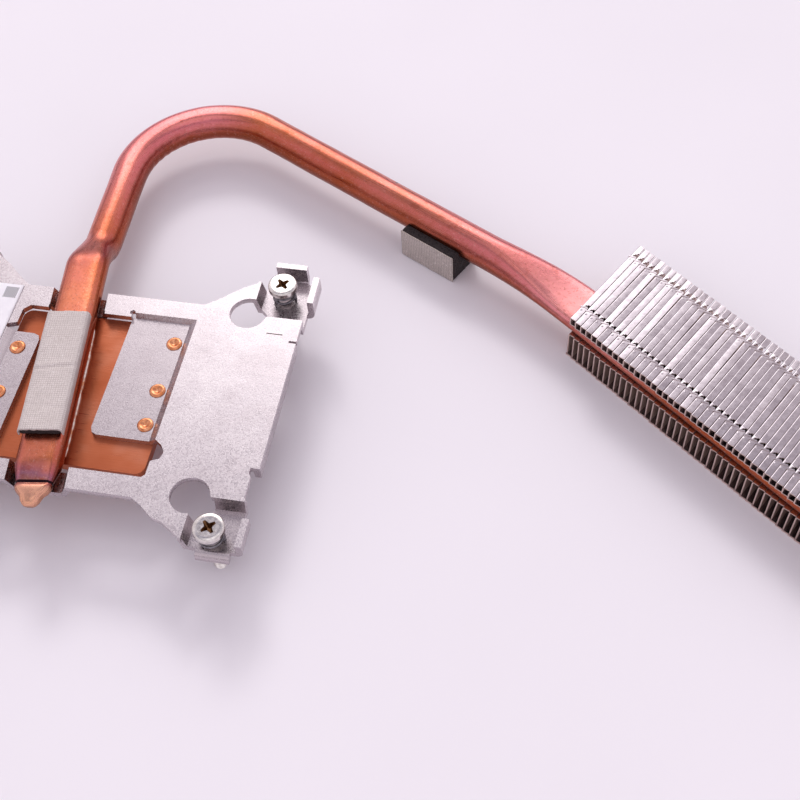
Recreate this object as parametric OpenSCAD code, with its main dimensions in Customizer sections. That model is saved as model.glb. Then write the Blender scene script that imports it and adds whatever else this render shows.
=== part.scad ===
// Laptop CPU cooler: a stamped bracket carries a copper cold plate, one heat pipe
// leaves the plate, steps down, bends round and ends in a stack of folded fins.
// Origin: centre of the cold plate's contact face. +Z points away from the chip.

/* [Cold plate] */
// Width of the copper plate
cold_plate_w = 28.6; // [26:0.2:29]
// Depth of the copper plate
cold_plate_d = 27.8; // [26:0.2:28.6]
// Thickness of the copper plate
cold_plate_t = 1.5; // [1.2:0.1:2.5]
// Corner radius of the copper plate
cold_plate_corner = 1.5; // [0.5:0.1:3]

/* [Bracket] */
// Thickness of the steel sheet
sheet_t = 1; // [0.8:0.1:1.2]
// Height of the bracket's flat above the riveted flaps
flat_rise = 0.9; // [0.6:0.1:1.2]
// Depth from the bracket's flat down to a screw seat
ear_drop = 2.5; // [2.2:0.1:3]
// Distance between the bracket's two side edges
bracket_w = 63; // [62:0.5:68]
// Offset of the bracket's middle from the cold plate's middle
bracket_shift = 0.4; // [0:0.1:1]
// Y of the rear rail's outer edge
rear_edge = 17.6; // [17:0.1:18.5]
// Distance of the front rail's outer edge in front of the plate's middle
front_edge = 18.8; // [18.2:0.1:19.5]
// Height of the rear ears' upturned wings above a screw seat
wing_h = 3.1; // [2:0.1:4]
// Height of the front ears' upturned wing above a screw seat
front_wing_h = 2; // [1.6:0.1:3]
// Height of the front ears' end, folded down from a screw seat
front_fold_h = 0.4; // [0.3:0.1:2]
// Height of the lip folded down along each side edge
lip_h = 2.5; // [1.5:0.1:3]
// Radius of the lightening holes
lightening_r = 3; // [2:0.1:3.2]

/* [Flaps] */
// X of the right flap's free edge
right_flap_edge = 4.3; // [3.6:0.1:6]
// X of the left flap's free edge
left_flap_edge = -9.5; // [-10.3:0.1:-9.2]
// Distance of each flap's bend from the cold plate's middle
flap_reach = 13.9; // [13.6:0.1:14.5]
// Distance of each flap's free end from the cold plate's middle
flap_end = 8.6; // [8:0.1:9.5]

/* [Rivets] */
// Diameter of a rivet's head
rivet_head_d = 2.7; // [2:0.1:2.8]
// Height of a rivet's head
rivet_head_h = 0.35; // [0.2:0.05:0.6]
// Diameter of a rivet's stem
rivet_stem_d = 1.6; // [1:0.1:1.8]

/* [Heat pipe] */
// Outer diameter of the round pipe
pipe_d = 6; // [5:0.1:6.4]
// Width of the pipe where it is pressed flat on the cold plate
pipe_plate_w = 7.1; // [6.4:0.1:7.6]
// Thickness of the pipe on the cold plate
pipe_plate_t = 3.6; // [2.5:0.1:4.2]
// Width of the pipe in the fins
pipe_fin_w = 8.2; // [7:0.1:8.6]
// Thickness of the pipe in the fins
pipe_fin_t = 2.3; // [1.8:0.1:3]
// Drop of the pipe's axis behind the bracket
pipe_drop = 3.8; // [3:0.1:4.4]
// Angle of the pipe on the plate, away from +Y
pipe_angle = 8; // [5:0.5:10]
// Length of pipe from its tip to the first bend
first_run = 50; // [48:0.5:54]
// Length of pipe between the first bend and the big bend
second_run = 18.6; // [15:0.1:24]
// Length of pipe between the big bend and the last bend
third_run = 54; // [48:0.5:60]
// Inner line radius of the big bend, on the pipe's axis
bend_r = 15.4; // [13:0.1:20]
// Angle of the big bend
bend_angle = 120; // [110:1:125]

/* [Fins] */
// Number of fins
fin_count = 60; // [20:1:70]
// Distance from one fin to the next along the stack
fin_pitch = 1.14; // [0.9:0.02:1.6]
// Thickness of a fin's sheet
fin_t = 0.2; // [0.1:0.02:0.3]
// Length of a fin from the stack's front to its back
fin_len = 19.3; // [16:0.1:24]
// Lean of the fins away from square
fin_skew = 8.5; // [0:0.5:12]
// Height of the fin bank above the pipe
upper_bank = 1.7; // [1:0.1:3]
// Height of the fin bank below the pipe
lower_bank = 5.2; // [3:0.1:6]
// Distance from the stack's front to the pipe's axis
pipe_inset = 4.45; // [4.4:0.05:6]

/* [Pads] */
// Length of the pad on the pipe
pipe_pad_len = 22.5; // [16:0.5:26]
// Width of the pad on the pipe
pipe_pad_w = 6.9; // [5:0.1:7.5]
// Thickness of the pad on the pipe
pipe_pad_t = 1.5; // [1:0.1:3]
// Thickness of the pads' fabric
fabric_t = 0.25; // [0.2:0.05:0.4]
// Length of the foam block beside the pipe
side_pad_len = 11; // [8:0.5:14]
// Width of the foam block beside the pipe
side_pad_w = 6; // [5:0.1:8]
// Height of the foam block beside the pipe
side_pad_h = 5.9; // [4:0.1:6]

/* [Screws] */
// Distance between the screws along X
screw_span_x = 54; // [53:0.5:57]
// Distance between the screws along Y
screw_span_y = 45; // [44:0.5:48]
// Diameter of a screw's head
screw_head_d = 4.7; // [4.4:0.1:5]
// Height of a screw's head
screw_head_h = 1; // [0.8:0.1:1.4]
// Diameter of a screw's shoulder, which slides in the seat
screw_shoulder_d = 2.4; // [2.2:0.1:2.6]
// Diameter of a screw's threaded end
screw_thread_d = 2; // [1.6:0.1:2]
// Length of a screw under its head
screw_len = 10.4; // [8:0.1:12]
// Height of a spring at rest
spring_h = 2.9; // [2.6:0.1:3.6]
// Outer diameter of a spring
spring_d = 3.9; // [3.8:0.1:4.2]
// Diameter of a spring's wire
wire_d = 0.4; // [0.3:0.02:0.44]
// Turns of a spring
spring_turns = 2.5; // [2:0.5:3]
// Diameter of a retaining clip
clip_d = 3.4; // [3.2:0.1:3.6]
// Thickness of a retaining clip
clip_t = 0.4; // [0.3:0.05:0.6]

/* [Label] */
// Width of the label
label_w = 7.4; // [5:0.1:7.6]
// Length of the label
label_len = 22; // [12:1:24]
// Thickness of the label
label_t = 0.1; // [0.05:0.05:0.2]

/* [Hidden] */
$fn = 48;

// A cut runs this far past the solid that it cuts
past = 1;
// Clearance between two pieces that touch or are soldered
touch = 0.02;
// Clearance of a part that slides or turns
running = 0.05;

// Heights of the bracket's levels
flap_top = cold_plate_t + sheet_t;
flat_top = flap_top + flat_rise;
seat_top = flat_top - ear_drop;
seat_bottom = seat_top - sheet_t;

// A bend's wall is a little thinner than the sheet, and its two ends lap the flats
wall_t = 0.85 * sheet_t;
lap = 0.5;
ear_bend_run = 0.5;
flap_side_run = 1.2;
flap_end_run = 0.5;
trough_run = 0.95;

// The ear around each screw, measured from the screw's axis
ear_wall_x = 3.9;
ear_wall_rear = 5.8;
ear_wall_front = 5.5;
wing_bend_r = 1.2;
wing_from_x = -2.1;
wing_to_x = 3;
// Inner faces of the wings, where each side wing starts and ends, and where the inner wall ends
rear_wing = [4.5, 4, -2.6, 2.8, 1.1];
front_wing = [3.9, 1.85, -3.1, 1.6, 1.6];
lightening_x = 4.5;
screw_hole_r = screw_shoulder_d / 2 + 0.15;

// Ends of the lips along the side edges
lip_rear = 12;
lip_front = 11.3;

// Window edges of the bracket between its two flaps
window_rear = 13.5;
window_front = 15.3;
flap_wall_rear = 14.4;
flap_wall_front = 16.1;
trough_from = cold_plate_d / 2 + 0.2;
flap_corner = 1.2;
flap_relief_r = 0.45;

// Rivet places, the right flap's first
rivet_x = 12.45;
right_rivet_y = [9.8, 0.6, -5.8];
left_rivet_y = [5.5, -3.3, -9.8];
rivet_depth = 1;
rivet_spots = concat([for (y = right_rivet_y) [rivet_x, y]], [for (y = left_rivet_y) [-rivet_x, y]]);

// The pipe as a bending list: straight length, right turn and radius of each bend
small_bend_angle = 6;
small_bend_r = 20;
last_bend_angle = 10.5;
last_bend_r = 87;
stack_len = fin_count * fin_pitch;
tip_past_stack = 3;
runs = [
    [first_run, small_bend_angle, small_bend_r],
    [second_run, bend_angle, bend_r],
    [third_run, last_bend_angle, last_bend_r],
    [stack_len + tip_past_stack, 0, 1]
];
last_run = len(runs) - 1;
// The pipe's axis crosses this point at the front window edge
pipe_cross = [-1, -15];
tip_overhang = 7.6;
start_heading = 90 + pipe_angle;
pipe_start = pipe_cross - tip_overhang * ahead(start_heading);

function ahead(h) = [cos(h), sin(h)];
function right_of(h) = [sin(h), -cos(h)];
function arc_len(i) = runs[i][1] * PI / 180 * runs[i][2];
function heading(i) = i == 0 ? start_heading : heading(i - 1) - runs[i - 1][1];
function run_start(i) = i == 0 ? pipe_start
    : bend_start(i - 1) + runs[i - 1][2] * (right_of(heading(i - 1)) - right_of(heading(i)));
function bend_start(i) = run_start(i) + runs[i][0] * ahead(heading(i));
function run_s(i) = i == 0 ? 0 : run_s(i - 1) + runs[i - 1][0] + arc_len(i - 1);
// Plan position and heading at a length s along the pipe
function along(s, i = 0) = let (straight = runs[i][0], whole = straight + arc_len(i))
    i == last_run || s <= straight ? [run_start(i) + s * ahead(heading(i)), heading(i)]
    : s > whole ? along(s - whole, i + 1)
    : let (h = heading(i) - (s - straight) / runs[i][2] * 180 / PI)
        [bend_start(i) + runs[i][2] * (right_of(heading(i)) - right_of(h)), h];

// Lengths along the pipe where its form changes
pipe_len = run_s(last_run) + runs[last_run][0];
tip_len = 6.5;
jog_before = 4.5;
jog_after = 4.5;
jog_from = first_run - jog_before;
jog_to = first_run + jog_after;
flatten_len = 20.5;
flatten_to = run_s(last_run) - 1.5;
flatten_from = flatten_to - flatten_len;
// The big bend presses the tube a little flatter
bend_w = 1.05 * pipe_d;
bend_t = 0.9 * pipe_d;
bend_ease = 6;

function blend(s, from, to) = let (k = min(1, max(0, (s - from) / (to - from)))) k * k * (3 - 2 * k);
function mix(a, b, k) = a + (b - a) * k;
pipe_plate_z = cold_plate_t + pipe_plate_t / 2;
pipe_low_z = pipe_plate_z - pipe_drop;
// The fins hold the pipe a little above its round stretch's axis
pipe_fin_rise = 0.35;
pipe_fin_z = pipe_low_z + pipe_fin_rise;
function pipe_z(s) = mix(mix(pipe_plate_z, pipe_low_z, blend(s, jog_from, jog_to)),
    pipe_fin_z, blend(s, flatten_from, flatten_to));
function in_bend(s) = let (from = run_s(1) + second_run, to = run_s(2))
    blend(s, from - bend_ease, from + bend_ease) - blend(s, to - bend_ease, to + bend_ease);
function round_w(s) = mix(pipe_d, bend_w, in_bend(s));
function round_t(s) = mix(pipe_d, bend_t, in_bend(s));
function body_w(s) = mix(mix(pipe_plate_w, round_w(s), blend(s, jog_from, jog_to)),
    pipe_fin_w, blend(s, flatten_from, flatten_to));
function body_t(s) = mix(mix(pipe_plate_t, round_t(s), blend(s, jog_from, jog_to)),
    pipe_fin_t, blend(s, flatten_from, flatten_to));
// Both ends are pinched shut: part of the full width and thickness left near a tip
tip_width_part = [[0, 0.3], [0.6, 0.4], [2.2, 0.66], [4, 0.8], [tip_len, 1]];
tip_thick_part = [[0, 0.25], [0.6, 0.42], [2.2, 0.5], [4, 0.52], [tip_len, 1]];
function from_tip(s) = min(s, pipe_len - s);
function pipe_w(s) = body_w(s) * lookup(from_tip(s), tip_width_part);
function pipe_t(s) = body_t(s) * lookup(from_tip(s), tip_thick_part);

pipe_sides = 24;
ring_step = 2.7;
tip_rings = [0, 0.5, 1.2, 2.2, 3, 4, 4.8, 5.6, tip_len];
body_rings = ceil((pipe_len - 2 * tip_len) / ring_step);
ring_s = concat(tip_rings,
    [for (i = [1:body_rings - 1]) tip_len + i * (pipe_len - 2 * tip_len) / body_rings],
    [for (i = [len(tip_rings) - 1:-1:0]) pipe_len - tip_rings[i]]);
// A flattened pipe has two flat faces and two half-round sides
function section(w, t, k) = let (a = (k + 0.5) * 360 / pipe_sides)
    [(w - t) / 2 * sign(cos(a)) + t / 2 * cos(a), t / 2 * sin(a)];
function ring(s) = let (p = along(s), side = right_of(p[1]), w = max(pipe_w(s), pipe_t(s) + 0.1))
    [for (k = [0:pipe_sides - 1]) let (q = section(w, pipe_t(s), k))
        [p[0][0] + q[0] * side[0], p[0][1] + q[0] * side[1], pipe_z(s) + q[1]]];
// Two triangles for each field between two rings of a tube, and a cap on each end
function tube_faces(rings, sides) = concat(
    [[for (k = [0:sides - 1]) k]],
    [for (i = [0:rings - 2]) for (k = [0:sides - 1])
        let (n = (k + 1) % sides) [i * sides + k, (i + 1) * sides + k, (i + 1) * sides + n]],
    [for (i = [0:rings - 2]) for (k = [0:sides - 1])
        let (n = (k + 1) % sides) [i * sides + k, (i + 1) * sides + n, i * sides + n]],
    [[for (k = [sides - 1:-1:0]) (rings - 1) * sides + k]]);

// The stack's own frame: X along the pipe, Y towards the stack's back
stack_heading = heading(last_run);
slot_h = pipe_fin_t + 0.2;
slot_top = pipe_fin_z + slot_h / 2;
slot_bottom = pipe_fin_z - slot_h / 2;
stack_top = slot_top + upper_bank;
stack_bottom = slot_bottom - lower_bank;
slot_depth = pipe_inset + pipe_fin_w / 2 + 0.35;
// A flange stops just short of the next fin
flange_len = fin_pitch * cos(fin_skew) - 0.03;
notch_in = 3.2;
notch_len = 1.3;
notch_w = 0.5;

// Screws, springs and clips
screw_z = seat_top + spring_h;
screw_tip = screw_z - screw_len;
recess_w = 0.55;
recess_len = 2.6;
recess_depth = 0.6;
recess_cone_r = 0.85;
recess_cone_depth = 1;
head_chamfer = 0.2;
clip_gap = 0.03;
clip_top = seat_bottom - clip_gap;
groove_r = screw_thread_d / 2 - 0.2;
groove_play = 0.03;
shoulder_end = clip_top - clip_t - 0.5;
tip_chamfer = 0.35;
corners = [[1, 1], [1, -1], [-1, 1], [-1, -1]];
// The label covers this corner, which has no lightening hole
label_corner = [-1, 1];
function screw_at(c) = [bracket_shift + c[0] * screw_span_x / 2, c[1] * screw_span_y / 2];
wire_sides = 8;
steps_per_turn = 18;
wire_steps = floor(spring_turns * steps_per_turn);

// Pads
pipe_pad_s = 22.4;
side_pad_along = 40;
side_pad_s = run_s(2) + side_pad_along;
side_pad_front = 4.6;
side_pad_top = pipe_low_z - 0.1;
label_inset = 15.8;
label_right = bracket_shift - bracket_w / 2 + label_inset;
label_rear = 17.2;

// Section of a step down towards +X between two levels of the sheet
function step_outline(hi, lo, run) =
    let (lean = run / (hi - lo), across = wall_t * sqrt(1 + lean * lean))
    [[-lap, hi], [0, hi], [run, lo], [run + lap, lo], [run + lap, lo - sheet_t],
     [lean * (hi - lo + sheet_t) - across, lo - sheet_t], [lean * sheet_t - across, hi - sheet_t],
     [-lap, hi - sheet_t]];

module step_wall(hi, lo, run, wide) {
    rotate([90, 0, 0])
        linear_extrude(wide, center = true)
            polygon(step_outline(hi, lo, run));
}

module sheet_at(top) {
    translate([0, 0, top - sheet_t])
        linear_extrude(sheet_t)
            children();
}

// One half of the bracket's flat, from its middle to its right edge
module half_flat() {
    edge = bracket_w / 2;
    ear_x = screw_span_x / 2 - ear_wall_x;
    rear_y = screw_span_y / 2 - ear_wall_rear;
    front_y = screw_span_y / 2 - ear_wall_front;
    polygon([
        [-past, rear_edge], [15.1, rear_edge], [17.1, rear_edge + 1.5], [ear_x - 3, rear_edge + 4.1],
        [ear_x, rear_edge + 6], [ear_x, rear_y], [edge, rear_y],
        [edge, lip_rear + 0.4], [edge - 1.2, lip_rear + 0.4], [edge - 1.2, lip_rear], [edge, lip_rear],
        [edge, -lip_front], [edge - 1.4, -lip_front], [edge - 1.4, -12.2], [edge - 1, -12.8],
        [edge - 1, -front_y], [ear_x, -front_y], [ear_x, -front_edge - 5.6],
        [ear_x - 2.2, -front_edge - 4.1], [ear_x - 3.6, -front_edge - 3.2], [17.9, -front_edge - 2.8],
        [15.8, -front_edge - 1.1], [14, -front_edge], [-past, -front_edge]
    ]);
}

// Everything at plate level is open here: the window and the two lowered flaps
module window() {
    high = flap_reach + flap_side_run;
    polygon([
        [-12.8, window_rear], [right_flap_edge, window_rear], [right_flap_edge, flap_wall_rear],
        [high, flap_wall_rear], [high, -flap_end], [high + 1.2, -flap_end - 0.9],
        [high + 1.9, -flap_end - 2], [high + 1.6, -flap_end - 3.2], [high + 0.3, -flap_end - 3.8],
        [high + 0.3, -window_front + 0.5], [high - 0.2, -window_front], [-6.5, -window_front],
        [left_flap_edge, -window_front], [left_flap_edge, -flap_wall_front],
        [-high, -flap_wall_front], [-high, flap_end], [-high - 0.5, flap_end + 0.6],
        [-13.8, flap_end + 1.2], [-13.8, window_rear - 1]
    ]);
}

// A flap lies on the cold plate and rises to the flat at its side and at one end
module flap(free_edge, end_wall) {
    side = flap_reach;
    low_end = end_wall - flap_end_run;
    sheet_at(flap_top)
        union() {
            polygon([
                [side, low_end], [side, -flap_end], [free_edge + flap_corner, -flap_end],
                [free_edge + 0.35, -flap_end + 0.35], [free_edge, -flap_end + flap_corner],
                [free_edge, low_end]
            ]);
            square_from(free_edge + 0.5, low_end - lap, side, low_end + touch);
        }
    translate([side + flap_side_run, (end_wall - flap_end) / 2, 0])
        rotate([0, 0, 180])
            step_wall(flat_top, flap_top, flap_side_run, end_wall + flap_end);
    translate([(free_edge + 0.5 + side + flap_side_run) / 2, end_wall, 0])
        rotate([0, 0, -90])
            step_wall(flat_top, flap_top, flap_end_run, side + flap_side_run - free_edge - 0.5);
}

module square_from(x0, y0, x1, y1) {
    translate([x0, y0])
        square([x1 - x0, y1 - y0]);
}

// The rails dip under the pipe
module trough_outline() {
    half = pipe_plate_w / 2 + 0.15 + trough_run;
    right_half = [for (p = step_outline(flat_top, cold_plate_t, trough_run)) [half - p[0], p[1]]];
    polygon(right_half);
    mirror([1, 0])
        polygon(right_half);
    translate([-half + trough_run, cold_plate_t - sheet_t])
        square([2 * (half - trough_run), sheet_t]);
}

module along_plate_pipe() {
    translate([pipe_cross[0], pipe_cross[1], 0])
        rotate([0, 0, pipe_angle])
            children();
}

module trough(y0, y1) {
    intersection() {
        translate([-bracket_w / 2, y0, -past])
            cube([bracket_w, y1 - y0, flat_top + 2 * past]);
        along_plate_pipe()
            rotate([90, 0, 0])
                linear_extrude(4 * rear_edge, center = true)
                    trough_outline();
    }
}

// Section of a wing: the seat's sheet turns round a bend and stands up by h
function wing_outline(h) =
    let (inside = wing_bend_r - sheet_t, level = seat_bottom + wing_bend_r)
    concat([[-lap, seat_bottom]],
        [for (a = [-90:15:0]) [wing_bend_r * cos(a), level + wing_bend_r * sin(a)]],
        [[wing_bend_r, seat_top + h], [inside, seat_top + h]],
        [for (a = [0:-30:-90]) [inside * cos(a), level + inside * sin(a)]],
        [[-lap, seat_top]]);

module wing(h, wide, down = false) {
    rotate([90, 0, 0])
        linear_extrude(wide, center = true)
            polygon([for (p = wing_outline(h)) [p[0], down ? seat_top + seat_bottom - p[1] : p[1]]]);
}

// An ear steps down to a screw's seat: its side stands up, its end stands up or folds down
module ear(inner, wings, side_h, end_h, end_down) {
    bend_x = wings[0] - wing_bend_r + sheet_t;
    bend_y = wings[1] - wing_bend_r + sheet_t;
    seat_x = ear_bend_run - ear_wall_x;
    seat_y = ear_bend_run - inner;
    corner_y = lightening_r - inner + 0.2;
    sheet_at(seat_top)
        polygon([
            [seat_x, corner_y], [wing_from_x + 1.2, seat_y], [bend_x, seat_y],
            [bend_x, wings[3]], [wing_to_x, bend_y], [wing_from_x, bend_y],
            [seat_x, wings[3]]
        ]);
    translate([-ear_wall_x, (corner_y + wings[4]) / 2, 0])
        step_wall(flat_top, seat_top, ear_bend_run, wings[4] - corner_y);
    translate([(wing_from_x + 1.2 + bend_x) / 2, -inner, 0])
        rotate([0, 0, 90])
            step_wall(flat_top, seat_top, ear_bend_run, bend_x - wing_from_x - 1.2);
    translate([(wing_from_x + wing_to_x) / 2, bend_y, 0])
        rotate([0, 0, 90])
            wing(end_h, wing_to_x - wing_from_x, end_down);
    translate([bend_x, (wings[2] + wings[3]) / 2, 0])
        wing(side_h, wings[3] - wings[2]);
}

// Lightening hole at an ear's inner corner, with a small point towards the screw
module lightening_hole(inner) {
    y = 0.2 - inner;
    translate([-lightening_x, y, seat_bottom - past])
        cylinder(h = ear_drop + sheet_t + 2 * past, r = lightening_r);
    translate([-lightening_x, y, seat_bottom - past])
        linear_extrude(ear_drop + sheet_t + 2 * past)
            polygon([
                [0.7 * lightening_r, 0.71 * lightening_r], [1.2 * lightening_r, 0.2 * lightening_r],
                [0.7 * lightening_r, -0.71 * lightening_r]
            ]);
}

module mounting_bracket() {
    color("gainsboro")
        difference() {
            union() {
                difference() {
                    translate([bracket_shift, 0, 0])
                        sheet_at(flat_top)
                            union() {
                                half_flat();
                                mirror([1, 0])
                                    half_flat();
                            }
                    translate([0, 0, flat_top - sheet_t - past])
                        linear_extrude(sheet_t + 2 * past)
                            window();
                    along_plate_pipe()
                        translate([-pipe_plate_w / 2 - 1.2, -rear_edge, flat_top - sheet_t - past])
                            cube([pipe_plate_w + 2.4, 4 * rear_edge, sheet_t + 2 * past]);
                    translate([right_flap_edge, flap_wall_rear, flat_top - sheet_t - past])
                        cylinder(h = sheet_t + 2 * past, r = flap_relief_r);
                    translate([left_flap_edge, -flap_wall_front, flat_top - sheet_t - past])
                        cylinder(h = sheet_t + 2 * past, r = flap_relief_r);
                }
                flap(right_flap_edge, flap_wall_rear);
                rotate([0, 0, 180])
                    flap(-left_flap_edge, flap_wall_front);
                trough(trough_from, rear_edge);
                trough(-front_edge, -window_front);
                for (side = [-1, 1])
                    translate([bracket_shift + side * (bracket_w - sheet_t) / 2, 0, flat_top - lip_h])
                        translate([-sheet_t / 2, -lip_front, 0])
                            cube([sheet_t, lip_front + lip_rear, lip_h - touch]);
                for (c = corners)
                    translate(screw_at(c))
                        mirror([c[0] < 0 ? 1 : 0, 0, 0])
                            mirror([0, c[1] < 0 ? 1 : 0, 0])
                                if (c[1] > 0)
                                    ear(ear_wall_rear, rear_wing, wing_h, wing_h, false);
                                else
                                    ear(ear_wall_front, front_wing, front_wing_h, front_fold_h, true);
            }
            for (c = corners)
                translate(screw_at(c))
                    mirror([c[0] < 0 ? 1 : 0, 0, 0])
                        mirror([0, c[1] < 0 ? 1 : 0, 0]) {
                            if (c != label_corner)
                                lightening_hole(c[1] > 0 ? ear_wall_rear : ear_wall_front);
                            translate([0, 0, seat_bottom - past])
                                cylinder(h = sheet_t + 2 * past, r = screw_hole_r);
                        }
            for (p = rivet_spots)
                translate([p[0], p[1], cold_plate_t - past])
                    cylinder(h = sheet_t + 2 * past, d = rivet_stem_d + 2 * touch);
        }
}

module rounded_rectangle(w, d, r) {
    square([w - 2 * r, d], center = true);
    square([w, d - 2 * r], center = true);
    for (x = [-1, 1], y = [-1, 1])
        translate([x * (w / 2 - r), y * (d / 2 - r)])
            circle(r);
}

module cold_plate() {
    color("peru")
        difference() {
            linear_extrude(cold_plate_t - touch)
                rounded_rectangle(cold_plate_w, cold_plate_d, cold_plate_corner);
            for (p = rivet_spots)
                translate([p[0], p[1], cold_plate_t - rivet_depth - touch])
                    cylinder(h = rivet_depth + past, d = rivet_stem_d + 2 * touch);
        }
}

// A rivet's head has a sloped rim and a cone-shaped dimple
module rivet() {
    r = rivet_head_d / 2;
    stem_r = rivet_stem_d / 2;
    dimple_r = 0.55 * r;
    rotate_extrude()
        polygon([
            [0, cold_plate_t - rivet_depth], [stem_r, cold_plate_t - rivet_depth],
            [stem_r, flap_top + touch], [r, flap_top + touch],
            [r, flap_top + 0.3 * rivet_head_h], [0.8 * r, flap_top + rivet_head_h],
            [dimple_r, flap_top + rivet_head_h], [0, flap_top - 0.3]
        ]);
}

module rivets() {
    color("sandybrown")
        for (p = rivet_spots)
            translate([p[0], p[1], 0])
                rivet();
}

module heat_pipe() {
    color("chocolate")
        polyhedron(points = [for (s = ring_s) for (p = ring(s)) p],
            faces = tube_faces(len(ring_s), pipe_sides));
}

module on_stack() {
    start = run_start(last_run);
    translate([start[0], start[1], 0])
        rotate([0, 0, stack_heading])
            children();
}

function c_outline(lo, hi) = [
    [0, lo], [flange_len, lo], [flange_len, lo + fin_t], [fin_t, lo + fin_t],
    [fin_t, hi - fin_t], [flange_len, hi - fin_t], [flange_len, hi], [0, hi]
];

module bank(lo, hi, from, to) {
    translate([0, to, 0])
        rotate([90, 0, 0])
            linear_extrude(to - from)
                polygon(c_outline(lo, hi));
}

// A fin is a folded sheet: two banks in front with the pipe between, one bank behind
module fin() {
    notch_back = fin_len - notch_in - notch_len;
    difference() {
        union() {
            bank(slot_top, stack_top, 0, slot_depth);
            bank(stack_bottom, slot_bottom, 0, slot_depth);
            bank(stack_bottom, stack_top, slot_depth - fin_t, fin_len);
        }
        for (y = [notch_in, notch_back])
            translate([flange_len - notch_w, y, stack_top - 2 * fin_t])
                cube([notch_w + past, notch_len, 3 * fin_t]);
    }
}

module fins() {
    color("silver")
        on_stack()
            for (i = [0:fin_count - 1])
                translate([i * fin_pitch, 0, 0])
                    rotate([0, 0, fin_skew])
                        translate([0, -pipe_inset, 0])
                            fin();
}

module at_pipe(s) {
    p = along(s);
    translate([p[0][0], p[0][1], 0])
        rotate([0, 0, p[1]])
            children();
}

pipe_pad_base = cold_plate_t + pipe_plate_t + touch;

module pipe_pad_foam() {
    color("dimgray")
        at_pipe(pipe_pad_s)
            translate([-pipe_pad_len / 2, -pipe_pad_w / 2 + fabric_t + touch, pipe_pad_base])
                cube([pipe_pad_len, pipe_pad_w - 2 * fabric_t - 2 * touch, pipe_pad_t - fabric_t - touch]);
}

// The fabric covers the foam's top and long sides
module pipe_pad_fabric() {
    color("silver")
        at_pipe(pipe_pad_s)
            difference() {
                translate([-pipe_pad_len / 2, -pipe_pad_w / 2, pipe_pad_base])
                    cube([pipe_pad_len, pipe_pad_w, pipe_pad_t]);
                translate([-pipe_pad_len / 2 - past, -pipe_pad_w / 2 + fabric_t, pipe_pad_base - past])
                    cube([pipe_pad_len + 2 * past, pipe_pad_w - 2 * fabric_t, pipe_pad_t - fabric_t + past]);
            }
}

// The block is pressed against the underside of the pipe
module side_pad_foam() {
    color("dimgray")
        at_pipe(side_pad_s)
            difference() {
                translate([-side_pad_len / 2, -side_pad_front, side_pad_top - side_pad_h])
                    cube([side_pad_len, side_pad_w, side_pad_h]);
                translate([-side_pad_len, 0, pipe_low_z])
                    rotate([0, 90, 0])
                        cylinder(h = 2 * side_pad_len, d = pipe_d + 2 * touch);
            }
}

module side_pad_fabric() {
    color("rosybrown")
        at_pipe(side_pad_s)
            translate([-side_pad_len / 2, -side_pad_front - touch - fabric_t, side_pad_top - side_pad_h])
                cube([side_pad_len, fabric_t, side_pad_h]);
}

module label() {
    color("white")
        translate([label_right - label_w, label_rear - label_len, flat_top + touch])
            cube([label_w, label_len, label_t]);
}

// The screw's axis is at the origin and its heights are the object's
module screw() {
    head_r = screw_head_d / 2;
    shoulder_r = screw_shoulder_d / 2;
    thread_r = screw_thread_d / 2;
    head_top = screw_z + screw_head_h;
    groove_top = clip_top + groove_play;
    groove_end = clip_top - clip_t - groove_play;
    difference() {
        rotate_extrude()
            polygon([
                [0, screw_tip], [thread_r - tip_chamfer, screw_tip], [thread_r, screw_tip + tip_chamfer],
                [thread_r, shoulder_end], [shoulder_r, shoulder_end], [shoulder_r, groove_end],
                [groove_r, groove_end], [groove_r, groove_top], [shoulder_r, groove_top],
                [shoulder_r, screw_z], [head_r, screw_z], [head_r, head_top - head_chamfer],
                [head_r - head_chamfer, head_top], [0, head_top]
            ]);
        for (turn = [45, 135])
            rotate([0, 0, turn])
                translate([-recess_len / 2, -recess_w / 2, head_top - recess_depth])
                    cube([recess_len, recess_w, recess_depth + past]);
        translate([0, 0, head_top - recess_cone_depth])
            cylinder(h = recess_cone_depth + touch, r1 = 0.15, r2 = recess_cone_r);
    }
}

module spring() {
    r = spring_d / 2 - wire_d / 2;
    low = seat_top + touch + wire_d / 2;
    rise = spring_h - 2 * touch - wire_d;
    rings = [for (i = [0:wire_steps]) let (a = i * 360 / steps_per_turn, z = low + rise * i / wire_steps)
        for (k = [0:wire_sides - 1]) let (b = (k + 0.5) * 360 / wire_sides, q = r + wire_d / 2 * cos(b))
            [q * cos(a), q * sin(a), z + wire_d / 2 * sin(b)]];
    polyhedron(points = rings, faces = tube_faces(wire_steps + 1, wire_sides));
}

// An open ring snapped into the screw's groove
module clip() {
    inner_r = groove_r + running;
    translate([0, 0, clip_top - clip_t])
        difference() {
            cylinder(h = clip_t, d = clip_d);
            translate([0, 0, -past])
                cylinder(h = clip_t + 2 * past, r = inner_r);
            translate([0, -inner_r + running, -past])
                cube([clip_d, 2 * (inner_r - running), clip_t + 2 * past]);
        }
}

module screws_at(i) {
    color("whitesmoke")
        translate(screw_at(corners[i]))
            screw();
}

module springs_at(i) {
    color("slategray")
        translate(screw_at(corners[i]))
            spring();
}

module clips_at(i) {
    color("darkgray")
        translate(screw_at(corners[i]))
            clip();
}

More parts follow.
